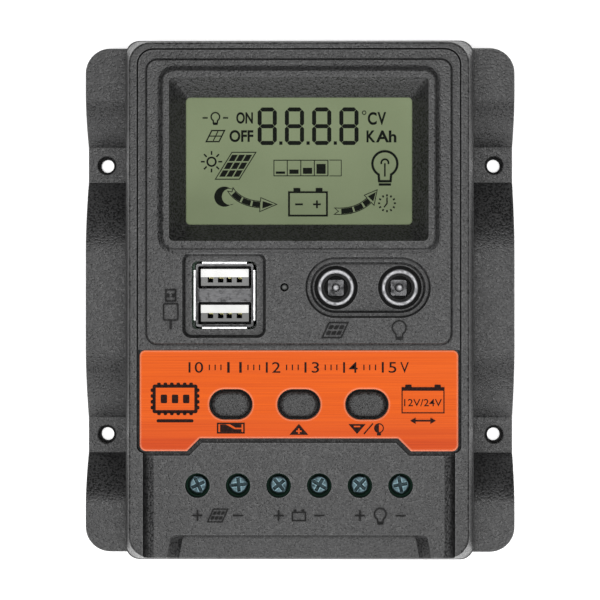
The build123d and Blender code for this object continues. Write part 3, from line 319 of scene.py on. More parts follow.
def circuit_board():
    """Green solder mask over copper tracks, with woven glass showing faintly."""
    finish = Finish("circuit_board", specular_ior_level=0.5, coat_weight=0.3, coat_roughness=0.15)
    track_pitch = 1.27 * MM
    snapped = finish.add("ShaderNodeVectorMath", {"operation": "SNAP"}, finish.places, (track_pitch,) * 3)
    chance = finish.add("ShaderNodeTexWhiteNoise", {"noise_dimensions": "3D"}, vector=snapped, out="Value")
    tracks = chance > 0.6
    weave = finish.add("ShaderNodeTexWave", {"wave_type": "BANDS", "bands_direction": "DIAGONAL"},
                       vector=finish.places, scale=700.0, distortion=0.4, detail=1.0, out="Color")
    tone = finish.mix(tracks * 0.8, (0.012, 0.09, 0.035), (0.03, 0.19, 0.075))
    tone = finish.mix(weave * 0.12, tone, (0.06, 0.22, 0.1))
    finish.feed(base_color=tone, roughness=weave * 0.1 + 0.32)
    return finish.bump((tracks, 0.035 * MM, 0.5)).material


def wound_coil():
    """Enamelled copper turns round a ring, with painted shade in the grooves between turns."""
    turn_count = 46
    finish = Finish("wound_coil", metallic=0.7)
    centre = middle("power_coil")
    across = finish.add("ShaderNodeVectorMath", {"operation": "SUBTRACT"}, finish.places, tuple(centre))
    turns = finish.add("ShaderNodeTexGradient", {"gradient_type": "RADIAL"}, vector=across, out="Color")
    angle = turns * 2 * pi * turn_count
    ridge = angle.math("SINE", angle)
    # Painted shade: darker in the grooves between turns.
    tone = finish.mix(ridge.between(-0.7, 0.7), (0.16, 0.05, 0.02), (0.72, 0.27, 0.1))
    finish.feed(base_color=tone, roughness=ridge.between(-1, 1, 0.5, 0.22))
    return finish.bump((ridge, 0.25 * MM, 0.8)).material


def glass_tube():
    finish = Finish("fuse_glass", transmission_weight=0.85, ior=1.5)
    smear = finish.noise(400, detail=2)
    return finish.feed(base_color=finish.mix(smear.between(0.3, 0.7), (0.7, 0.75, 0.74), (0.85, 0.88, 0.87)),
                       roughness=smear.between(0.3, 0.7, 0.02, 0.12)).material


def lens_resin():
    """Clear lens seen down its hole: hazy middle, with painted shade round the rim."""
    finish = Finish("lens_resin", specular_ior_level=0.15)
    haze = finish.noise(900, detail=2)
    centre = middle("status_led")
    off_x, off_y = finish.axis("X") - centre.x, finish.axis("Y") - centre.y
    # Painted shade round the edge of the lens.
    rim = (off_x * off_x + off_y * off_y).between((0.45 * MM) ** 2, (0.75 * MM) ** 2)
    tone = finish.mix(haze.between(0.3, 0.7), (0.05, 0.052, 0.05), (0.10, 0.104, 0.10))
    tone = finish.mix(rim, tone, (0.003, 0.003, 0.003))
    return finish.feed(base_color=tone, roughness=haze.between(0.3, 0.7, 0.2, 0.35)).material


def floor_finish():
    finish = Finish("studio_floor", specular_ior_level=0.1, roughness=0.9, emission_strength=0.35,
                    emission_color=(1, 1, 1, 1))
    paper = finish.noise(240, detail=3)
    tone = finish.mix(paper.between(0.3, 0.7), (0.93, 0.93, 0.93), (0.95, 0.95, 0.95))
    return finish.feed(base_color=tone).material


HOUSING = textured_plastic("housing_plastic", (0.009, 0.009, 0.0092), (0.034, 0.034, 0.0345))
# Keys: weaker painted shade in their corners.
KEYS = textured_plastic("key_plastic", (0.006, 0.006, 0.006), (0.039, 0.039, 0.039), grain=2800.0, dirt_and_shade=0.4)
LABEL = brushed_label()
INK = ink("label_ink", (0.012, 0.006, 0.006), (0.03, 0.014, 0.011))
SEGMENT = ink("display_segment", (0.004, 0.005, 0.004), (0.009, 0.011, 0.008))
GLASS = display_face()
# Raised signs: darker and less glossy than the housing, as painted shade for the dark outlines round them.
SIGNS = moulded_plastic("sign_plastic", (0.011, 0.011, 0.011), (0.018, 0.018, 0.018), 0.8, specular=0.05)
# Screws: painted shade below the top of their heads.
ZINC = plated_metal("zinc_steel", (0.075, 0.115, 0.13), dirt_and_shade=0.7, streak=(1500, 1500, 500),
                    shaded_below=top("terminal_screw_panel_pos") - 0.3 * MM)
CAGE = plated_metal("cage_steel", (0.32, 0.33, 0.34))
# Socket shell: painted shade deeper in its mouth.
SHELL_METAL = plated_metal("socket_steel", (0.42, 0.42, 0.43), dirt_and_shade=0.3, streak=(900, 5200, 900),
                           shaded_below=top("socket_shell") - 0.6 * MM, shade_share=0.09)
# Jack pins: painted shade on their lower part.
NICKEL = plated_metal("nickel", (0.30, 0.30, 0.31), dirt_and_shade=0.2, streak=(900, 900, 900),
                      shaded_below=top("panel_jack_pin") - 1.0 * MM, shade_share=0.5)
BRASS = plated_metal("contact_brass", (0.50, 0.36, 0.16))
TIN = plated_metal("tinned_copper", (0.46, 0.46, 0.45))
ALUMINIUM = plated_metal("bare_aluminium", (0.42, 0.43, 0.44), streak=(90, 2600, 2600))
# Green terminal block, darkened to near black as painted shade deep under its access holes.
TERMINAL = moulded_plastic("terminal_green", (0.004, 0.022, 0.013), (0.007, 0.034, 0.02), 0.45, specular=0.03)
# Socket insulator: white tongue tips, the rest below them in painted shade.
WHITE = moulded_plastic("socket_white", (0.62, 0.62, 0.61), (0.72, 0.72, 0.70), 0.4, specular=0.1,
                        shaded_below=top("socket_insulator") - 0.3 * MM)
# Black plastic: its own black, made darker and less glossy still as painted shade for the jack bodies in
# their recesses.
BLACK = moulded_plastic("black_plastic", (0.006, 0.006, 0.006), (0.011, 0.011, 0.011), 0.45, specular=0.08)
SLEEVE = moulded_plastic("can_sleeve", (0.012, 0.016, 0.05), (0.02, 0.026, 0.08), 0.25)
GUIDE = moulded_plastic("light_guide", (0.72, 0.76, 0.70), (0.80, 0.84, 0.78), 0.2)
SILICONE = moulded_plastic("pad_silicone", (0.42, 0.43, 0.45), (0.5, 0.51, 0.53), 0.6)
FILM = moulded_plastic("label_film", (0.62, 0.63, 0.64), (0.70, 0.71, 0.72), 0.4)
BOARD = circuit_board()
COIL = wound_coil()
TUBE = glass_tube()
LENS = lens_resin()

FINISHES = {
    "shell_plastic": HOUSING, "key_plastic": KEYS, "orange_plate": LABEL, "label_film": FILM,
    "zinc_steel": ZINC, "cage_steel": CAGE, "terminal_plastic": TERMINAL, "contact_brass": BRASS,
    "tinned_copper": TIN, "board_green": BOARD, "display_glass": GLASS, "guide_acrylic": GUIDE,
    "socket_steel": SHELL_METAL, "white_plastic": WHITE, "black_plastic": BLACK, "nickel": NICKEL,
    "lens_epoxy": LENS, "bare_aluminium": ALUMINIUM, "pad_silicone": SILICONE, "can_sleeve": SLEEVE,
    "ferrite": COIL, "fuse_glass": TUBE,
}
SLOT_OF = {part["node"]: part["material_slot"] for part in frame["record"]["subparts"]}
for name, node in NODES.items():
    for holder in node.material_slots:
        holder.material = FINISHES[SLOT_OF[name]]


# ------------------------------------------------------------------ repeating with Geometry Nodes
class Pattern:
    """A Geometry Nodes tree with named inputs that repeats the piece it is put on."""

    def __init__(self, name, **inputs):
        self.tree = bpy.data.node_groups.new(name, "GeometryNodeTree")
        face = self.tree.interface
        face.new_socket("Geometry", in_out="INPUT", socket_type="NodeSocketGeometry")
        for label, kind in inputs.items():
            face.new_socket(label, in_out="INPUT", socket_type="NodeSocket" + kind)
        face.new_socket("Material", in_out="INPUT", socket_type="NodeSocketMaterial")
        face.new_socket("Geometry", in_out="OUTPUT", socket_type="NodeSocketGeometry")
        self.given = self.tree.nodes.new("NodeGroupInput").outputs

    def add(self, kind, settings=None, **inputs):
        node = self.tree.nodes.new(kind)
        for key, value in (settings or {}).items():
            setattr(node, key, value)
        for key, value in inputs.items():
            self.plug(next(s for s in node.inputs if s.name == key.replace("_", " ") and s.enabled), value)
        return next(s for s in node.outputs if s.enabled)

    def plug(self, socket, value):
        if isinstance(value, bpy.types.NodeSocket):
            self.tree.links.new(value, socket)
        else:
            socket.default_value = value

    def math(self, operation, first, second):
        node = self.tree.nodes.new("ShaderNodeMath")
        node.operation = operation
        for socket, value in zip(node.inputs, (first, second)):
            self.plug(socket, value)
        return node.outputs[0]

    def close(self, instances):
        """Real geometry, moved to its place, with its material."""
        real = self.add("GeometryNodeRealizeInstances", Geometry=instances)
        moved = self.add("GeometryNodeTransform", Geometry=real, Translation=self.given["Place"])
        done = self.add("GeometryNodeSetMaterial", Geometry=moved, Material=self.given["Material"])
        self.tree.links.new(done, self.tree.nodes.new("NodeGroupOutput").inputs[0])


def rows_pattern():
    """Copies in columns and rows, centred on Place; Lean slides each row sideways by its height."""
    made = Pattern("rows_of_copies", Columns="Int", Rows="Int", Pitch_X="Float", Pitch_Y="Float",
                   Lean="Float", Place="Vector")
    given = made.given

    def whole(count, pitch):
        return made.math("MULTIPLY", made.math("SUBTRACT", given[count], 1), given[pitch])

    grid = made.add("GeometryNodeMeshGrid", Vertices_X=given["Columns"], Vertices_Y=given["Rows"],
                    Size_X=whole("Columns", "Pitch_X"), Size_Y=whole("Rows", "Pitch_Y"))
    parts = made.tree.nodes.new("ShaderNodeSeparateXYZ")
    made.tree.links.new(made.add("GeometryNodeInputPosition"), parts.inputs[0])
    slide = made.add("ShaderNodeCombineXYZ", X=made.math("MULTIPLY", parts.outputs["Y"], given["Lean"]))
    leaned = made.add("GeometryNodeSetPosition", Geometry=grid, Offset=slide)
    made.close(made.add("GeometryNodeInstanceOnPoints", Points=leaned, Instance=given["Geometry"]))
    return made.tree


def circle_pattern():
    """Copies round a circle, each turned so that its own X points outwards."""
    made = Pattern("copies_round_circle", Count="Int", Radius="Float", Place="Vector")
    given = made.given
    ring = made.add("GeometryNodeMeshCircle", Vertices=given["Count"], Radius=given["Radius"])
    turn = made.add("FunctionNodeAlignRotationToVector", {"axis": "X"},
                    Vector=made.add("GeometryNodeInputPosition"))
    made.close(made.add("GeometryNodeInstanceOnPoints", Points=ring, Instance=given["Geometry"],
                        Rotation=turn))
    return made.tree


ROWS = rows_pattern()
CIRCLE = circle_pattern()


def repeated(loops, thick, tree, material, **inputs):
    """Mesh of the repeated outline; lengths in inputs are metres."""
    unit = bpy.data.objects.new("unit", plate([loops], 0, thick))
    bpy.context.scene.collection.objects.link(unit)
    modifier = unit.modifiers.new("repeat", "NODES")
    modifier.node_group = tree
    named = {item.name: item.identifier for item in tree.interface.items_tree if item.in_out == "INPUT"}
    modifier[named["Material"]] = material
    for key, value in inputs.items():
        modifier[named[key]] = value
    graph = bpy.context.evaluated_depsgraph_get()
    mesh = bpy.data.meshes.new_from_object(unit.evaluated_get(graph), depsgraph=graph)
    bpy.data.objects.remove(unit)
    return mesh


def in_metres(place):
    """A drawing's x and y in millimetres with a height that is in metres already."""
    x, y, z = place
    return (x * MM, y * MM, z)


def grid_of(loops, thick, material, place, columns=1, rows=1, pitch=(0.0, 0.0), lean=0.0):
    """Copies of an outline in columns and rows, centred on place."""
    return repeated(loops, thick, ROWS, material, Columns=columns, Rows=rows, Pitch_X=pitch[0] * MM,
                    Pitch_Y=pitch[1] * MM, Lean=lean, Place=in_metres(place))


def ring_of(loops, thick, material, place, count, radius):
    """Copies of an outline round a circle."""
    return repeated(loops, thick, CIRCLE, material, Count=count, Radius=radius * MM,
                    Place=in_metres(place))


# ------------------------------------------------------------------ flat drawings, in millimetres
def arc(x, y, radius, start=0.0, sweep=360.0, count=36):
    """Points along an arc; angles in degrees."""
    last = count if abs(sweep) >= 360 else count - 1
    angles = [radians(start + sweep * i / last) for i in range(count)]
    return [(x + radius * cos(t), y + radius * sin(t)) for t in angles]


def rectangle(x, y, width, height):
    a, b = width / 2, height / 2
    return [(x - a, y - b), (x + a, y - b), (x + a, y + b), (x - a, y + b)]


def rounded(x, y, width, height, radius):
    a, b = width / 2 - radius, height / 2 - radius
    quarters = ((a, b, 0), (-a, b, 90), (-a, -b, 180), (a, -b, 270))
    return [p for cx, cy, start in quarters for p in arc(x + cx, y + cy, radius, start, 90, 7)]


def frame_of(x, y, width, height, line, radius=0.0):
    """Outline of a box: an outer and an inner loop."""
    if radius:
        return [rounded(x, y, width, height, radius),
                rounded(x, y, width - 2 * line, height - 2 * line, max(radius - line, 0.05))]
    return [rectangle(x, y, width, height), rectangle(x, y, width - 2 * line, height - 2 * line)]


def offset_line(points, shift, closed):
    """The points moved sideways by shift, with mitred corners."""
    moved = []
    count = len(points)
    for i, (x, y) in enumerate(points):
        before = points[(i - 1) % count] if closed or i else None
        after = points[(i + 1) % count] if closed or i < count - 1 else None
        normals = []
        for start, end in ((before, (x, y)), ((x, y), after)):
            if start is not None and end is not None:
                step = Vector((end[0] - start[0], end[1] - start[1])).normalized()
                normals.append(Vector((-step.y, step.x)))
        across = sum(normals, Vector((0, 0))).normalized()
        reach = shift / max(across.dot(normals[0]), 0.35)
        moved.append((x + across.x * reach, y + across.y * reach))
    return moved


def stroke(points, width, closed=False):
    """Loops of a line of even width."""
    left, right = (offset_line(points, side * width / 2, closed) for side in (1, -1))
    return [left, right] if closed else [left + right[::-1]]


def level_line(left, right, y, width):
    return stroke([(left, y), (right, y)], width)


def upright_line(x, low, high, width):
    return stroke([(x, low), (x, high)], width)


def leaning(x, y, width, height, lean):
    """Parallelogram whose top is slid sideways by lean."""
    a, b, c = width / 2, height / 2, lean / 2
    return [(x - a - c, y - b), (x + a - c, y - b), (x + a + c, y + b), (x - a + c, y + b)]


def plate(groups, low_z, thick, step=0.004):
    """Mesh of closed plates, one for each group of loops; a loop inside another is a hole."""
    made = bmesh.new()
    for index, loops in enumerate(groups):
        curve = bpy.data.curves.new("outline", "CURVE")
        curve.dimensions = "2D"
        curve.fill_mode = "BOTH"
        curve.extrude = thick * MM / 2
        for loop in loops:
            spline = curve.splines.new("POLY")
            spline.points.add(len(loop) - 1)
            for point, (x, y) in zip(spline.points, loop):
                point.co = (x * MM, y * MM, 0, 1)
            spline.use_cyclic_u = True
        holder = bpy.data.objects.new("outline", curve)
        mesh = bpy.data.meshes.new_from_object(holder)
        mesh.transform(Matrix.Translation((0, 0, low_z + (thick / 2 + index * step) * MM)))
        made.from_mesh(mesh)
        bpy.data.objects.remove(holder)
    bmesh.ops.remove_doubles(made, verts=made.verts, dist=1e-7)
    bmesh.ops.recalc_face_normals(made, faces=made.faces)
    mesh = bpy.data.meshes.new("plate")
    made.to_mesh(mesh)
    return mesh


def lettering(words, left, right, low, high, low_z, thick, weight=0.0):
    """Generic figures and unit signs, fitted to a box."""
    text = bpy.data.curves.new("figures", "FONT")
    text.body = words
    text.size = 1
    text.offset = weight
    text.extrude = 0.05
    holder = bpy.data.objects.new("figures", text)
    mesh = bpy.data.meshes.new_from_object(holder)
    bpy.data.objects.remove(holder)
    places = [v.co for v in mesh.vertices]
    low_x, high_x = min(p.x for p in places), max(p.x for p in places)
    low_y, high_y = min(p.y for p in places), max(p.y for p in places)
    for v in mesh.vertices:
        x = left + (v.co.x - low_x) / (high_x - low_x) * (right - left)
        y = low + (v.co.y - low_y) / (high_y - low_y) * (high - low)
        v.co = (x * MM, y * MM, low_z + (thick if v.co.z > 0 else 0) * MM)
    return mesh


def piece(name, meshes, material, body, round_edge=0.0):
    """One object of several meshes, riding on a body."""
    made = bmesh.new()
    for mesh in meshes:
        made.from_mesh(mesh)
    for face in made.faces:
        face.material_index = 0
    mesh = bpy.data.meshes.new(name)
    made.to_mesh(mesh)
    mesh.materials.append(material)
    holder = bpy.data.objects.new(name, mesh)
    bpy.context.scene.collection.objects.link(holder)
    if round_edge:
        bevel = holder.modifiers.new("rounded", "BEVEL")
        bevel.width = round_edge * MM
        bevel.segments = 2
        bevel.limit_method = "ANGLE"
        bevel.angle_limit = radians(40)
    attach(holder, body)


# ------------------------------------------------------------------ icons, each a list of loop groups
def bulb_icon(x, y, radius, line):
    """Lamp bulb: round glass closed at its waist, and one band of the cap."""
    glass = arc(x, y, radius - line / 2, -60, 300, 34)
    waist, cap = radius * 0.42, radius * 0.45
    waist_y, cap_y = y - radius * 1.28, y - radius * 1.52
    outline = [(x + waist, waist_y)] + glass + [(x - waist, waist_y)]
    return [stroke(outline, line, closed=True), level_line(x - cap, x + cap, cap_y, line)]


def battery_icon(x, y, width, height, line):
    """Battery box with two posts."""
    posts = [[rectangle(x + side * width * 0.28, y + height / 2 + line * 0.9, width * 0.17, line * 1.9)]
             for side in (-1, 1)]
    return [frame_of(x, y, width, height, line), *posts]


def plug_icon(x, y, width, height, line):
    """Charging plug seen from the side: cable, body and metal end with two windows."""
    body_y, body_h = y - height * 0.08, height * 0.42
    end_y, end_h = y + height * 0.32, height * 0.3
    windows = [[rectangle(x + side * width * 0.17, end_y, width * 0.16, end_h * 0.3)] for side in (-1, 1)]
    cable = upright_line(x, body_y - body_h / 2 - line * 0.2, y - height / 2, line * 1.6)
    return [frame_of(x, body_y, width, body_h, line, line * 1.4),
            frame_of(x, end_y, width * 0.72, end_h, line), *windows, cable]


def crescent(x, y, radius, bite):
    """Moon: a disc with a smaller disc bitten out of its right side."""
    outer = arc(x, y, radius, 50, 260, 30)
    inner = arc(x + bite, y, radius * 0.82, 62, 236, 26)
    return [[outer + inner[::-1]]]


def swept_arrow(start, bend, end, width, head, line):
    """Curved arrow outline with dark blocks inside; three points steer its curve."""
    def at(t):
        a, b, c = (1 - t) ** 2, 2 * t * (1 - t), t * t
        return Vector((a * start[0] + b * bend[0] + c * end[0], a * start[1] + b * bend[1] + c * end[1]))

    def side(t, reach):
        step = (at(min(t + 0.01, 1)) - at(max(t - 0.01, 0))).normalized()
        return at(t) + Vector((-step.y, step.x)) * reach

    neck = 0.74
    body = [side(neck * i / 8, width / 2) for i in range(9)]
    tip = [side(neck, head / 2), at(1), side(neck, -head / 2)]
    back = [side(neck * i / 8, -width / 2) for i in range(8, -1, -1)]
    outline = [tuple(p) for p in body + tip + back + [at(0.07)]]
    groups = [stroke(outline, line, closed=True)]
    for first, last in ((0.12, 0.34), (0.38, 0.56), (0.6, neck)):
        steps = [first + (last - first) * i / 4 for i in range(5)]
        inner = width / 2 - line * 0.9
        block = [side(t, inner) for t in steps] + [side(t, -inner) for t in steps[::-1]]
        groups.append([[tuple(p) for p in block]])
    point = [side(neck + 0.04, head * 0.26), at(0.95), side(neck + 0.04, -head * 0.26)]
    return groups + [[[tuple(p) for p in point]]]


# ------------------------------------------------------------------ display graphics
def digit_bars(width, height, bar, gap):
    """The seven bars of a digit, pointed at both ends, with gaps between them."""
    half_w, half_h = width / 2 - bar / 2, height / 2 - bar / 2

    def pointed(x, y, room, level):
        reach = room - gap - bar * 0.42
        tip = reach + bar / 2
        outline = [(-tip, 0), (-reach, bar / 2), (reach, bar / 2), (tip, 0), (reach, -bar / 2),
                   (-reach, -bar / 2)]
        return [(x + along, y + across) if level else (x + across, y + along) for along, across in outline]

    uprights = [(sx * half_w, sy * half_h / 2) for sx in (-1, 1) for sy in (-1, 1)]
    return ([pointed(0, y, half_w, True) for y in (-half_h, 0, half_h)]
            + [pointed(x, y, half_h / 2, False) for x, y in uprights])


def display_graphics():
    """Everything that the display shows, as thin plates just above the glass."""
    low_z = GLASS_Z + 0.004 * MM
    thick = 0.02
    digit_w, digit_h, digit_pitch, bar, gap = 4.5, 8.8, 6.38, 0.95, 0.14
    digits_x, digits_y = -7.45 + 1.5 * digit_pitch, 40.7
    sun, solar, clock, lamp = (-20.5, 32.4), (-14.85, 31.45), (20.6, 22.65), (20.1, 31.9)
    state_lamp, state_panel, degree, battery = (-19.6, 42.9), (-19.6, 38.4), (15.25, 43.85), (2.1, 22.5)
    level_pitch, level_low, rule_low, rule_high = 3.17, 29.55, 29.0, 32.8

    def grid(loops, x, y, **layout):
        return grid_of(loops, thick, SEGMENT, (x, y, low_z), **layout)

    def ring(loops, place, count, radius):
        return ring_of(loops, thick, SEGMENT, (*place, low_z), count, radius)

    # four seven-segment digits with points between them
    meshes = [grid(digit_bars(digit_w, digit_h, bar, gap), digits_x, digits_y, columns=4,
                   pitch=(digit_pitch, 0.0)),
              grid([rectangle(0, 0, 0.75, 0.8)], digits_x, digits_y - digit_h / 2 + 0.45, columns=3,
                   pitch=(digit_pitch, 0.0))]
    # state words and unit signs
    for words, left, right, low, high in (
        ("ON", -14.7, -10.8, 41.3, 44.0), ("OFF", -16.3, -10.7, 37.0, 39.8),
        ("C", 16.1, 18.2, 41.0, 44.0), ("V", 18.35, 20.4, 41.0, 44.0),
        ("K", 15.8, 17.9, 36.9, 39.7), ("Ah", 18.0, 22.8, 36.9, 39.7),
    ):
        meshes.append(lettering(words, left, right, low, high, low_z, thick, weight=0.03))
    # rays of the sun, solar cells, clock ticks
    meshes.append(ring([rectangle(0, 0, 0.9, 0.36)], sun, 8, 2.05))
    meshes.append(grid([leaning(0, 0, 1.35, 1.5, 0.85)], *solar, columns=3, rows=3, pitch=(1.66, 1.82),
                       lean=0.6))
    meshes.append(ring([rectangle(0, 0, 0.5, 0.4)], clock, 12, 1.85))
    # sun, solar panel, state panel with its cross lines, degree ring
    groups = [stroke(arc(*sun, 1.0), 0.42, closed=True),
              stroke(leaning(*solar, 5.6, 6.3, 3.9), 0.22, closed=True),
              stroke(leaning(*state_panel, 3.0, 2.6, 1.3), 0.3, closed=True),
              level_line(-21.2, -18.0, state_panel[1], 0.24), stroke([(-20.1, 37.3), (-19.0, 39.5)], 0.24),
              stroke(arc(*degree, 0.42, count=16), 0.2, closed=True)]
    # charge level: four cells filled to a growing height, in a box ruled into five
    for i, filled in enumerate((0.55, 1.0, 1.4, 2.3)):
        groups.append([rectangle(-4.35 + i * level_pitch, level_low + filled / 2, 2.15, filled)])
    groups.append(frame_of(0.45, 30.9, 12.85, 3.85, 0.2))
    groups += [upright_line(-2.75 + level_pitch * i, rule_low, rule_high, 0.2) for i in range(4)]
    groups += [level_line(7.1, 9.9, 32.75, 0.16), upright_line(9.9, rule_low, rule_high, 0.16),
               level_line(7.1, 9.9, 29.05, 0.16)]
    # lamp with its filament, and the small state lamp with a dash on each side
    groups += bulb_icon(*lamp, 3.2, 0.55)
    groups += [upright_line(lamp[0], 28.9, 32.0, 0.36), stroke(arc(lamp[0], 32.1, 0.85, -20, 220, 14), 0.4)]
    groups += bulb_icon(*state_lamp, 1.15, 0.3)
    groups += [level_line(-22.6, -21.4, 42.65, 0.32), level_line(-17.8, -16.6, 42.65, 0.32)]
    # moon, arrows, battery with minus and plus, hands of the clock
    groups += crescent(-17.5, 24.2, 2.35, 1.35)
    groups += swept_arrow((-16.1, 25.9), (-13.4, 21.6), (-5.2, 22.4), 1.5, 3.3, 0.16)
    groups += swept_arrow((8.3, 20.8), (15.2, 20.3), (18.3, 25.8), 1.5, 3.3, 0.16)
    groups += battery_icon(*battery, 9.3, 5.9, 0.42)
    groups += [level_line(-0.9, 0.9, 22.4, 0.4), level_line(3.3, 5.1, 22.4, 0.4),
               upright_line(4.2, 21.5, 23.3, 0.4)]
    groups += [stroke([(clock[0], 24.0), (clock[0], 22.6), (19.9, 21.7)], 0.3)]
    meshes.append(plate(groups, low_z, thick))
    piece("display_segments", meshes, SEGMENT, "housing")


# ------------------------------------------------------------------ label printing
def label_print():
    """Everything printed on the orange plate, as thin plates just above it."""
    low_z = LABEL_Z + 0.002 * MM
    thick = 0.015
    first, second, third = (b.x / MM for b in BUTTONS)
    scale_x, tick_x, scale_pitch, scale_low, scale_high = -24.0, -19.5, 9.0, -16.95, -14.45

    def grid(loops, x, y, **layout):
        return grid_of(loops, thick, INK, (x, y, low_z), **layout)

    # voltage scale across the top, with three ticks between two figures
    meshes = []
    for i, words in enumerate(("10", "11", "12", "13", "14", "15")):
        x = scale_x + i * scale_pitch
        meshes.append(lettering(words, x - 1.7, x + 1.7, scale_low, scale_high, low_z, thick, weight=0.004))
    meshes.append(lettering("V", 23.6, 25.6, scale_low, scale_high, low_z, thick, weight=0.004))
    for i in range(5):
        meshes.append(grid([rectangle(0, 0, 0.28, 1.3)], tick_x + scale_pitch * i, -15.7, columns=3,
                           pitch=(1.35, 0.0)))
    # controller chip: thick frame with rows of pins, three blocks inside and a line below
    chip_x, chip_y, chip_w, chip_h = -28.85, -23.05, 10.5, 6.7
    tooth = [rounded(0, 0, 0.85, 0.9, 0.3)]
    side_tooth = [rounded(0, 0, 0.9, 0.85, 0.3)]
    for side in (-1, 1):
        meshes.append(grid(tooth, chip_x, chip_y + side * chip_h / 2, columns=6, pitch=(1.5, 0.0)))
        meshes.append(grid(side_tooth, chip_x + side * chip_w / 2, chip_y, rows=4, pitch=(0.0, 1.35)))
    groups = [frame_of(chip_x, chip_y, chip_w, chip_h, 0.75, 0.5)]
    groups += [[rounded(chip_x - 2.6 + 2.6 * i, chip_y, 1.5, 2.0, 0.3)] for i in range(3)]
    groups += [[rounded(chip_x, -28.15, 8.6, 0.75, 0.35)]]
    # under the keys: wave in a frame, up with plus, down with minus, half lamp
    key_row = -29.85
    groups += [frame_of(first, key_row, 6.5, 2.55, 0.36)]
    groups += [[[(first - 2.5, -30.75), (first - 2.5, -29.0), (first - 1.2, -29.0), (first + 0.9, -30.1),
                 (first + 2.5, -30.1), (first + 2.5, -30.75)]],
               [[(first - 0.2, -28.95), (first + 2.5, -28.95), (first + 2.5, -29.75), (first + 1.1, -29.75)]]]
    cross = [(0.22, 0.22), (0.75, 0.22), (0.75, -0.22), (0.22, -0.22), (0.22, -0.75), (-0.22, -0.75),
             (-0.22, -0.22), (-0.75, -0.22), (-0.75, 0.22), (-0.22, 0.22), (-0.22, 0.75), (0.22, 0.75)]
    groups += [[[(second - 2.2, -31.4), (second + 2.2, -31.4), (second, -28.85)],
                [(second + 0.85 * x, -30.55 + 0.85 * y) for x, y in cross]]]
    left = third - 2.3
    triangle = [(left - 2.0, -28.9), (left + 2.0, -28.9), (left, -31.2)]
    groups += [[triangle, rectangle(left, -29.45, 1.5, 0.35)],
               stroke([(left + 1.6, -31.2), (left + 3.7, -28.75)], 0.3)]
    lamp = left + 5.1
    groups += [[arc(lamp, key_row, 1.15, 90, 180, 14) + [(lamp, -31.0)]],
               stroke(arc(lamp, key_row, 1.03, -90, 180, 14), 0.24),
               [rounded(lamp, -31.25, 0.95, 0.6, 0.15)]]
    # battery with its two voltages, and a double arrow
    battery_x, battery_w, arrow_y = 28.9, 10.0, -28.1
    groups += [frame_of(battery_x, -23.35, battery_w, 6.1, 0.26),
               [rectangle(battery_x, -20.7, battery_w, 0.85)]]
    groups += [[rounded(battery_x + side * 3.4, -20.1, 1.5, 0.8, 0.2)] for side in (-1, 1)]
    groups += [level_line(26.9, 30.9, arrow_y, 0.4), [[(25.9, arrow_y), (27.2, -27.35), (27.2, -28.85)]],
               [[(31.9, arrow_y), (30.6, -27.35), (30.6, -28.85)]]]
    meshes.append(plate(groups, low_z, thick))
    meshes.append(lettering("12V/24V", 24.5, 33.3, -24.75, -23.05, low_z, thick, weight=0.006))
    piece("label_print", meshes, INK, "housing")


# ------------------------------------------------------------------ raised signs on the housing
def solar_sign(x, y, width, height, line, low_z, thick):
    """Leaning solar panel: outline and two rows of cells."""
    lean = height * 0.45
    meshes = [plate([stroke(leaning(x, y, width, height, lean), line, closed=True)], low_z, thick)]
    cell_w, cell_h = width * 0.2, height * 0.24
    meshes.append(grid_of([leaning(0, 0, cell_w, cell_h, cell_h * 0.45)], thick, SIGNS, (x, y, low_z),
                          columns=3, rows=2, pitch=(width * 0.28, height * 0.38), lean=0.45))
    return meshes


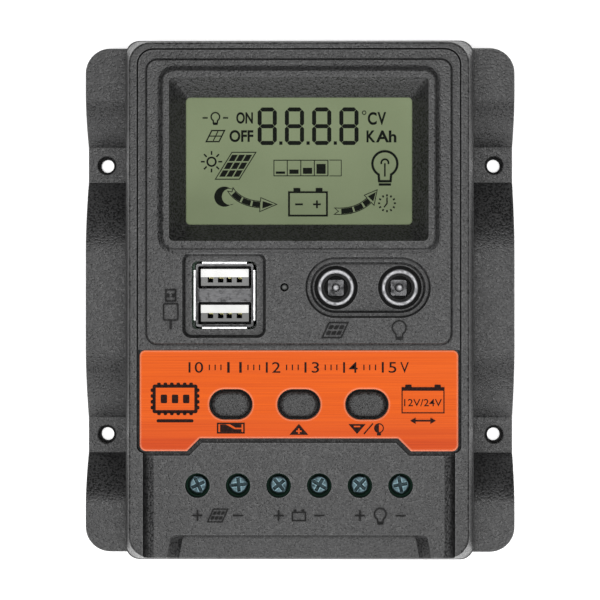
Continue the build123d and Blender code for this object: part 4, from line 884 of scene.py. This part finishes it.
def raised_signs():
    """The signs moulded on the deck and on the panel, sunk a little so that they leave no gap."""
    thick, line, sunk = 0.2, 0.27, 0.03 * MM
    deck = DECK_Z - sunk
    island = ISLAND_Z - sunk
    sign_y = SCREWS[0].y / MM - 7.0
    xs = [s.x / MM for s in SCREWS]
    meshes = solar_sign((xs[0] + xs[1]) / 2, sign_y, 3.4, 3.0, line * 0.8, deck, thick)
    groups = battery_icon((xs[2] + xs[3]) / 2, sign_y - 0.2, 3.3, 2.2, line)
    groups += bulb_icon((xs[4] + xs[5]) / 2, sign_y + 0.35, 1.5, line)
    for i, x in enumerate(xs):
        groups.append(level_line(x - 1.15, x + 1.15, sign_y, line))
        if i % 2 == 0:
            groups.append(upright_line(x, sign_y - 1.25, sign_y + 1.25, line))
    meshes.append(plate(groups, deck, thick, step=0.02))
    piece("deck_signs", meshes, SIGNS, "housing", round_edge=0.05)
    solar_x, lamp_x = (j.x / MM for j in JACKS)
    jack_y = JACKS[0].y / MM
    meshes = solar_sign(solar_x - 0.2, jack_y - 9.9, 4.4, 3.5, line, island, thick)
    groups = bulb_icon(lamp_x - 0.2, jack_y - 9.35, 1.75, line)
    groups += plug_icon(SOCKET.x / MM - 12.4, SOCKET.y / MM - 3.1, 3.6, 9.6, line)
    meshes.append(plate(groups, island, thick, step=0.02))
    piece("panel_signs", meshes, SIGNS, "housing", round_edge=0.05)


display_graphics()
label_print()
raised_signs()


# ------------------------------------------------------------------ floor, lights, camera
def studio():
    """White floor, a dim sky, two soft lamps aimed at the part, and the camera over its face."""
    scene = bpy.context.scene
    scene.view_settings.view_transform = "Standard"
    bpy.ops.mesh.primitive_plane_add(size=6, location=(0, 0, -0.2 * MM))
    floor = bpy.context.object
    floor.name = "floor"
    floor.data.materials.append(floor_finish())
    world = bpy.data.worlds.new("studio")
    scene.world = world
    world.use_nodes = True
    sky = world.node_tree.nodes["Background"].inputs
    sky["Color"].default_value = (1, 1, 1, 1)
    sky["Strength"].default_value = 0.04
    lamps = [
        ("overhead", (0.0, -0.06, 1.6), 1.15, 33),
        ("front_softbox", (0.0, -1.4, 0.5), 0.9, 20),
    ]
    for name, place, size, power in lamps:
        lamp = bpy.data.lights.new(name, "AREA")
        lamp.shape = "SQUARE"
        lamp.size = size
        lamp.energy = power
        holder = bpy.data.objects.new(name, lamp)
        holder.location = place
        holder.rotation_mode = "QUATERNION"
        holder.rotation_quaternion = (-Vector(place)).to_track_quat("-Z", "Y")
        scene.collection.objects.link(holder)
    camera = bpy.data.cameras.new("camera")
    camera.sensor_width = 36
    camera.lens = 146.05
    camera.clip_start = 0.01
    holder = bpy.data.objects.new("camera", camera)
    aside, above, reach = 0.0068, 0.6, 0.59
    holder.location = (aside, 0.0, above)
    holder.rotation_euler = (0.0, atan2(aside, reach), 0.0)
    scene.collection.objects.link(holder)
    scene.camera = holder


studio()
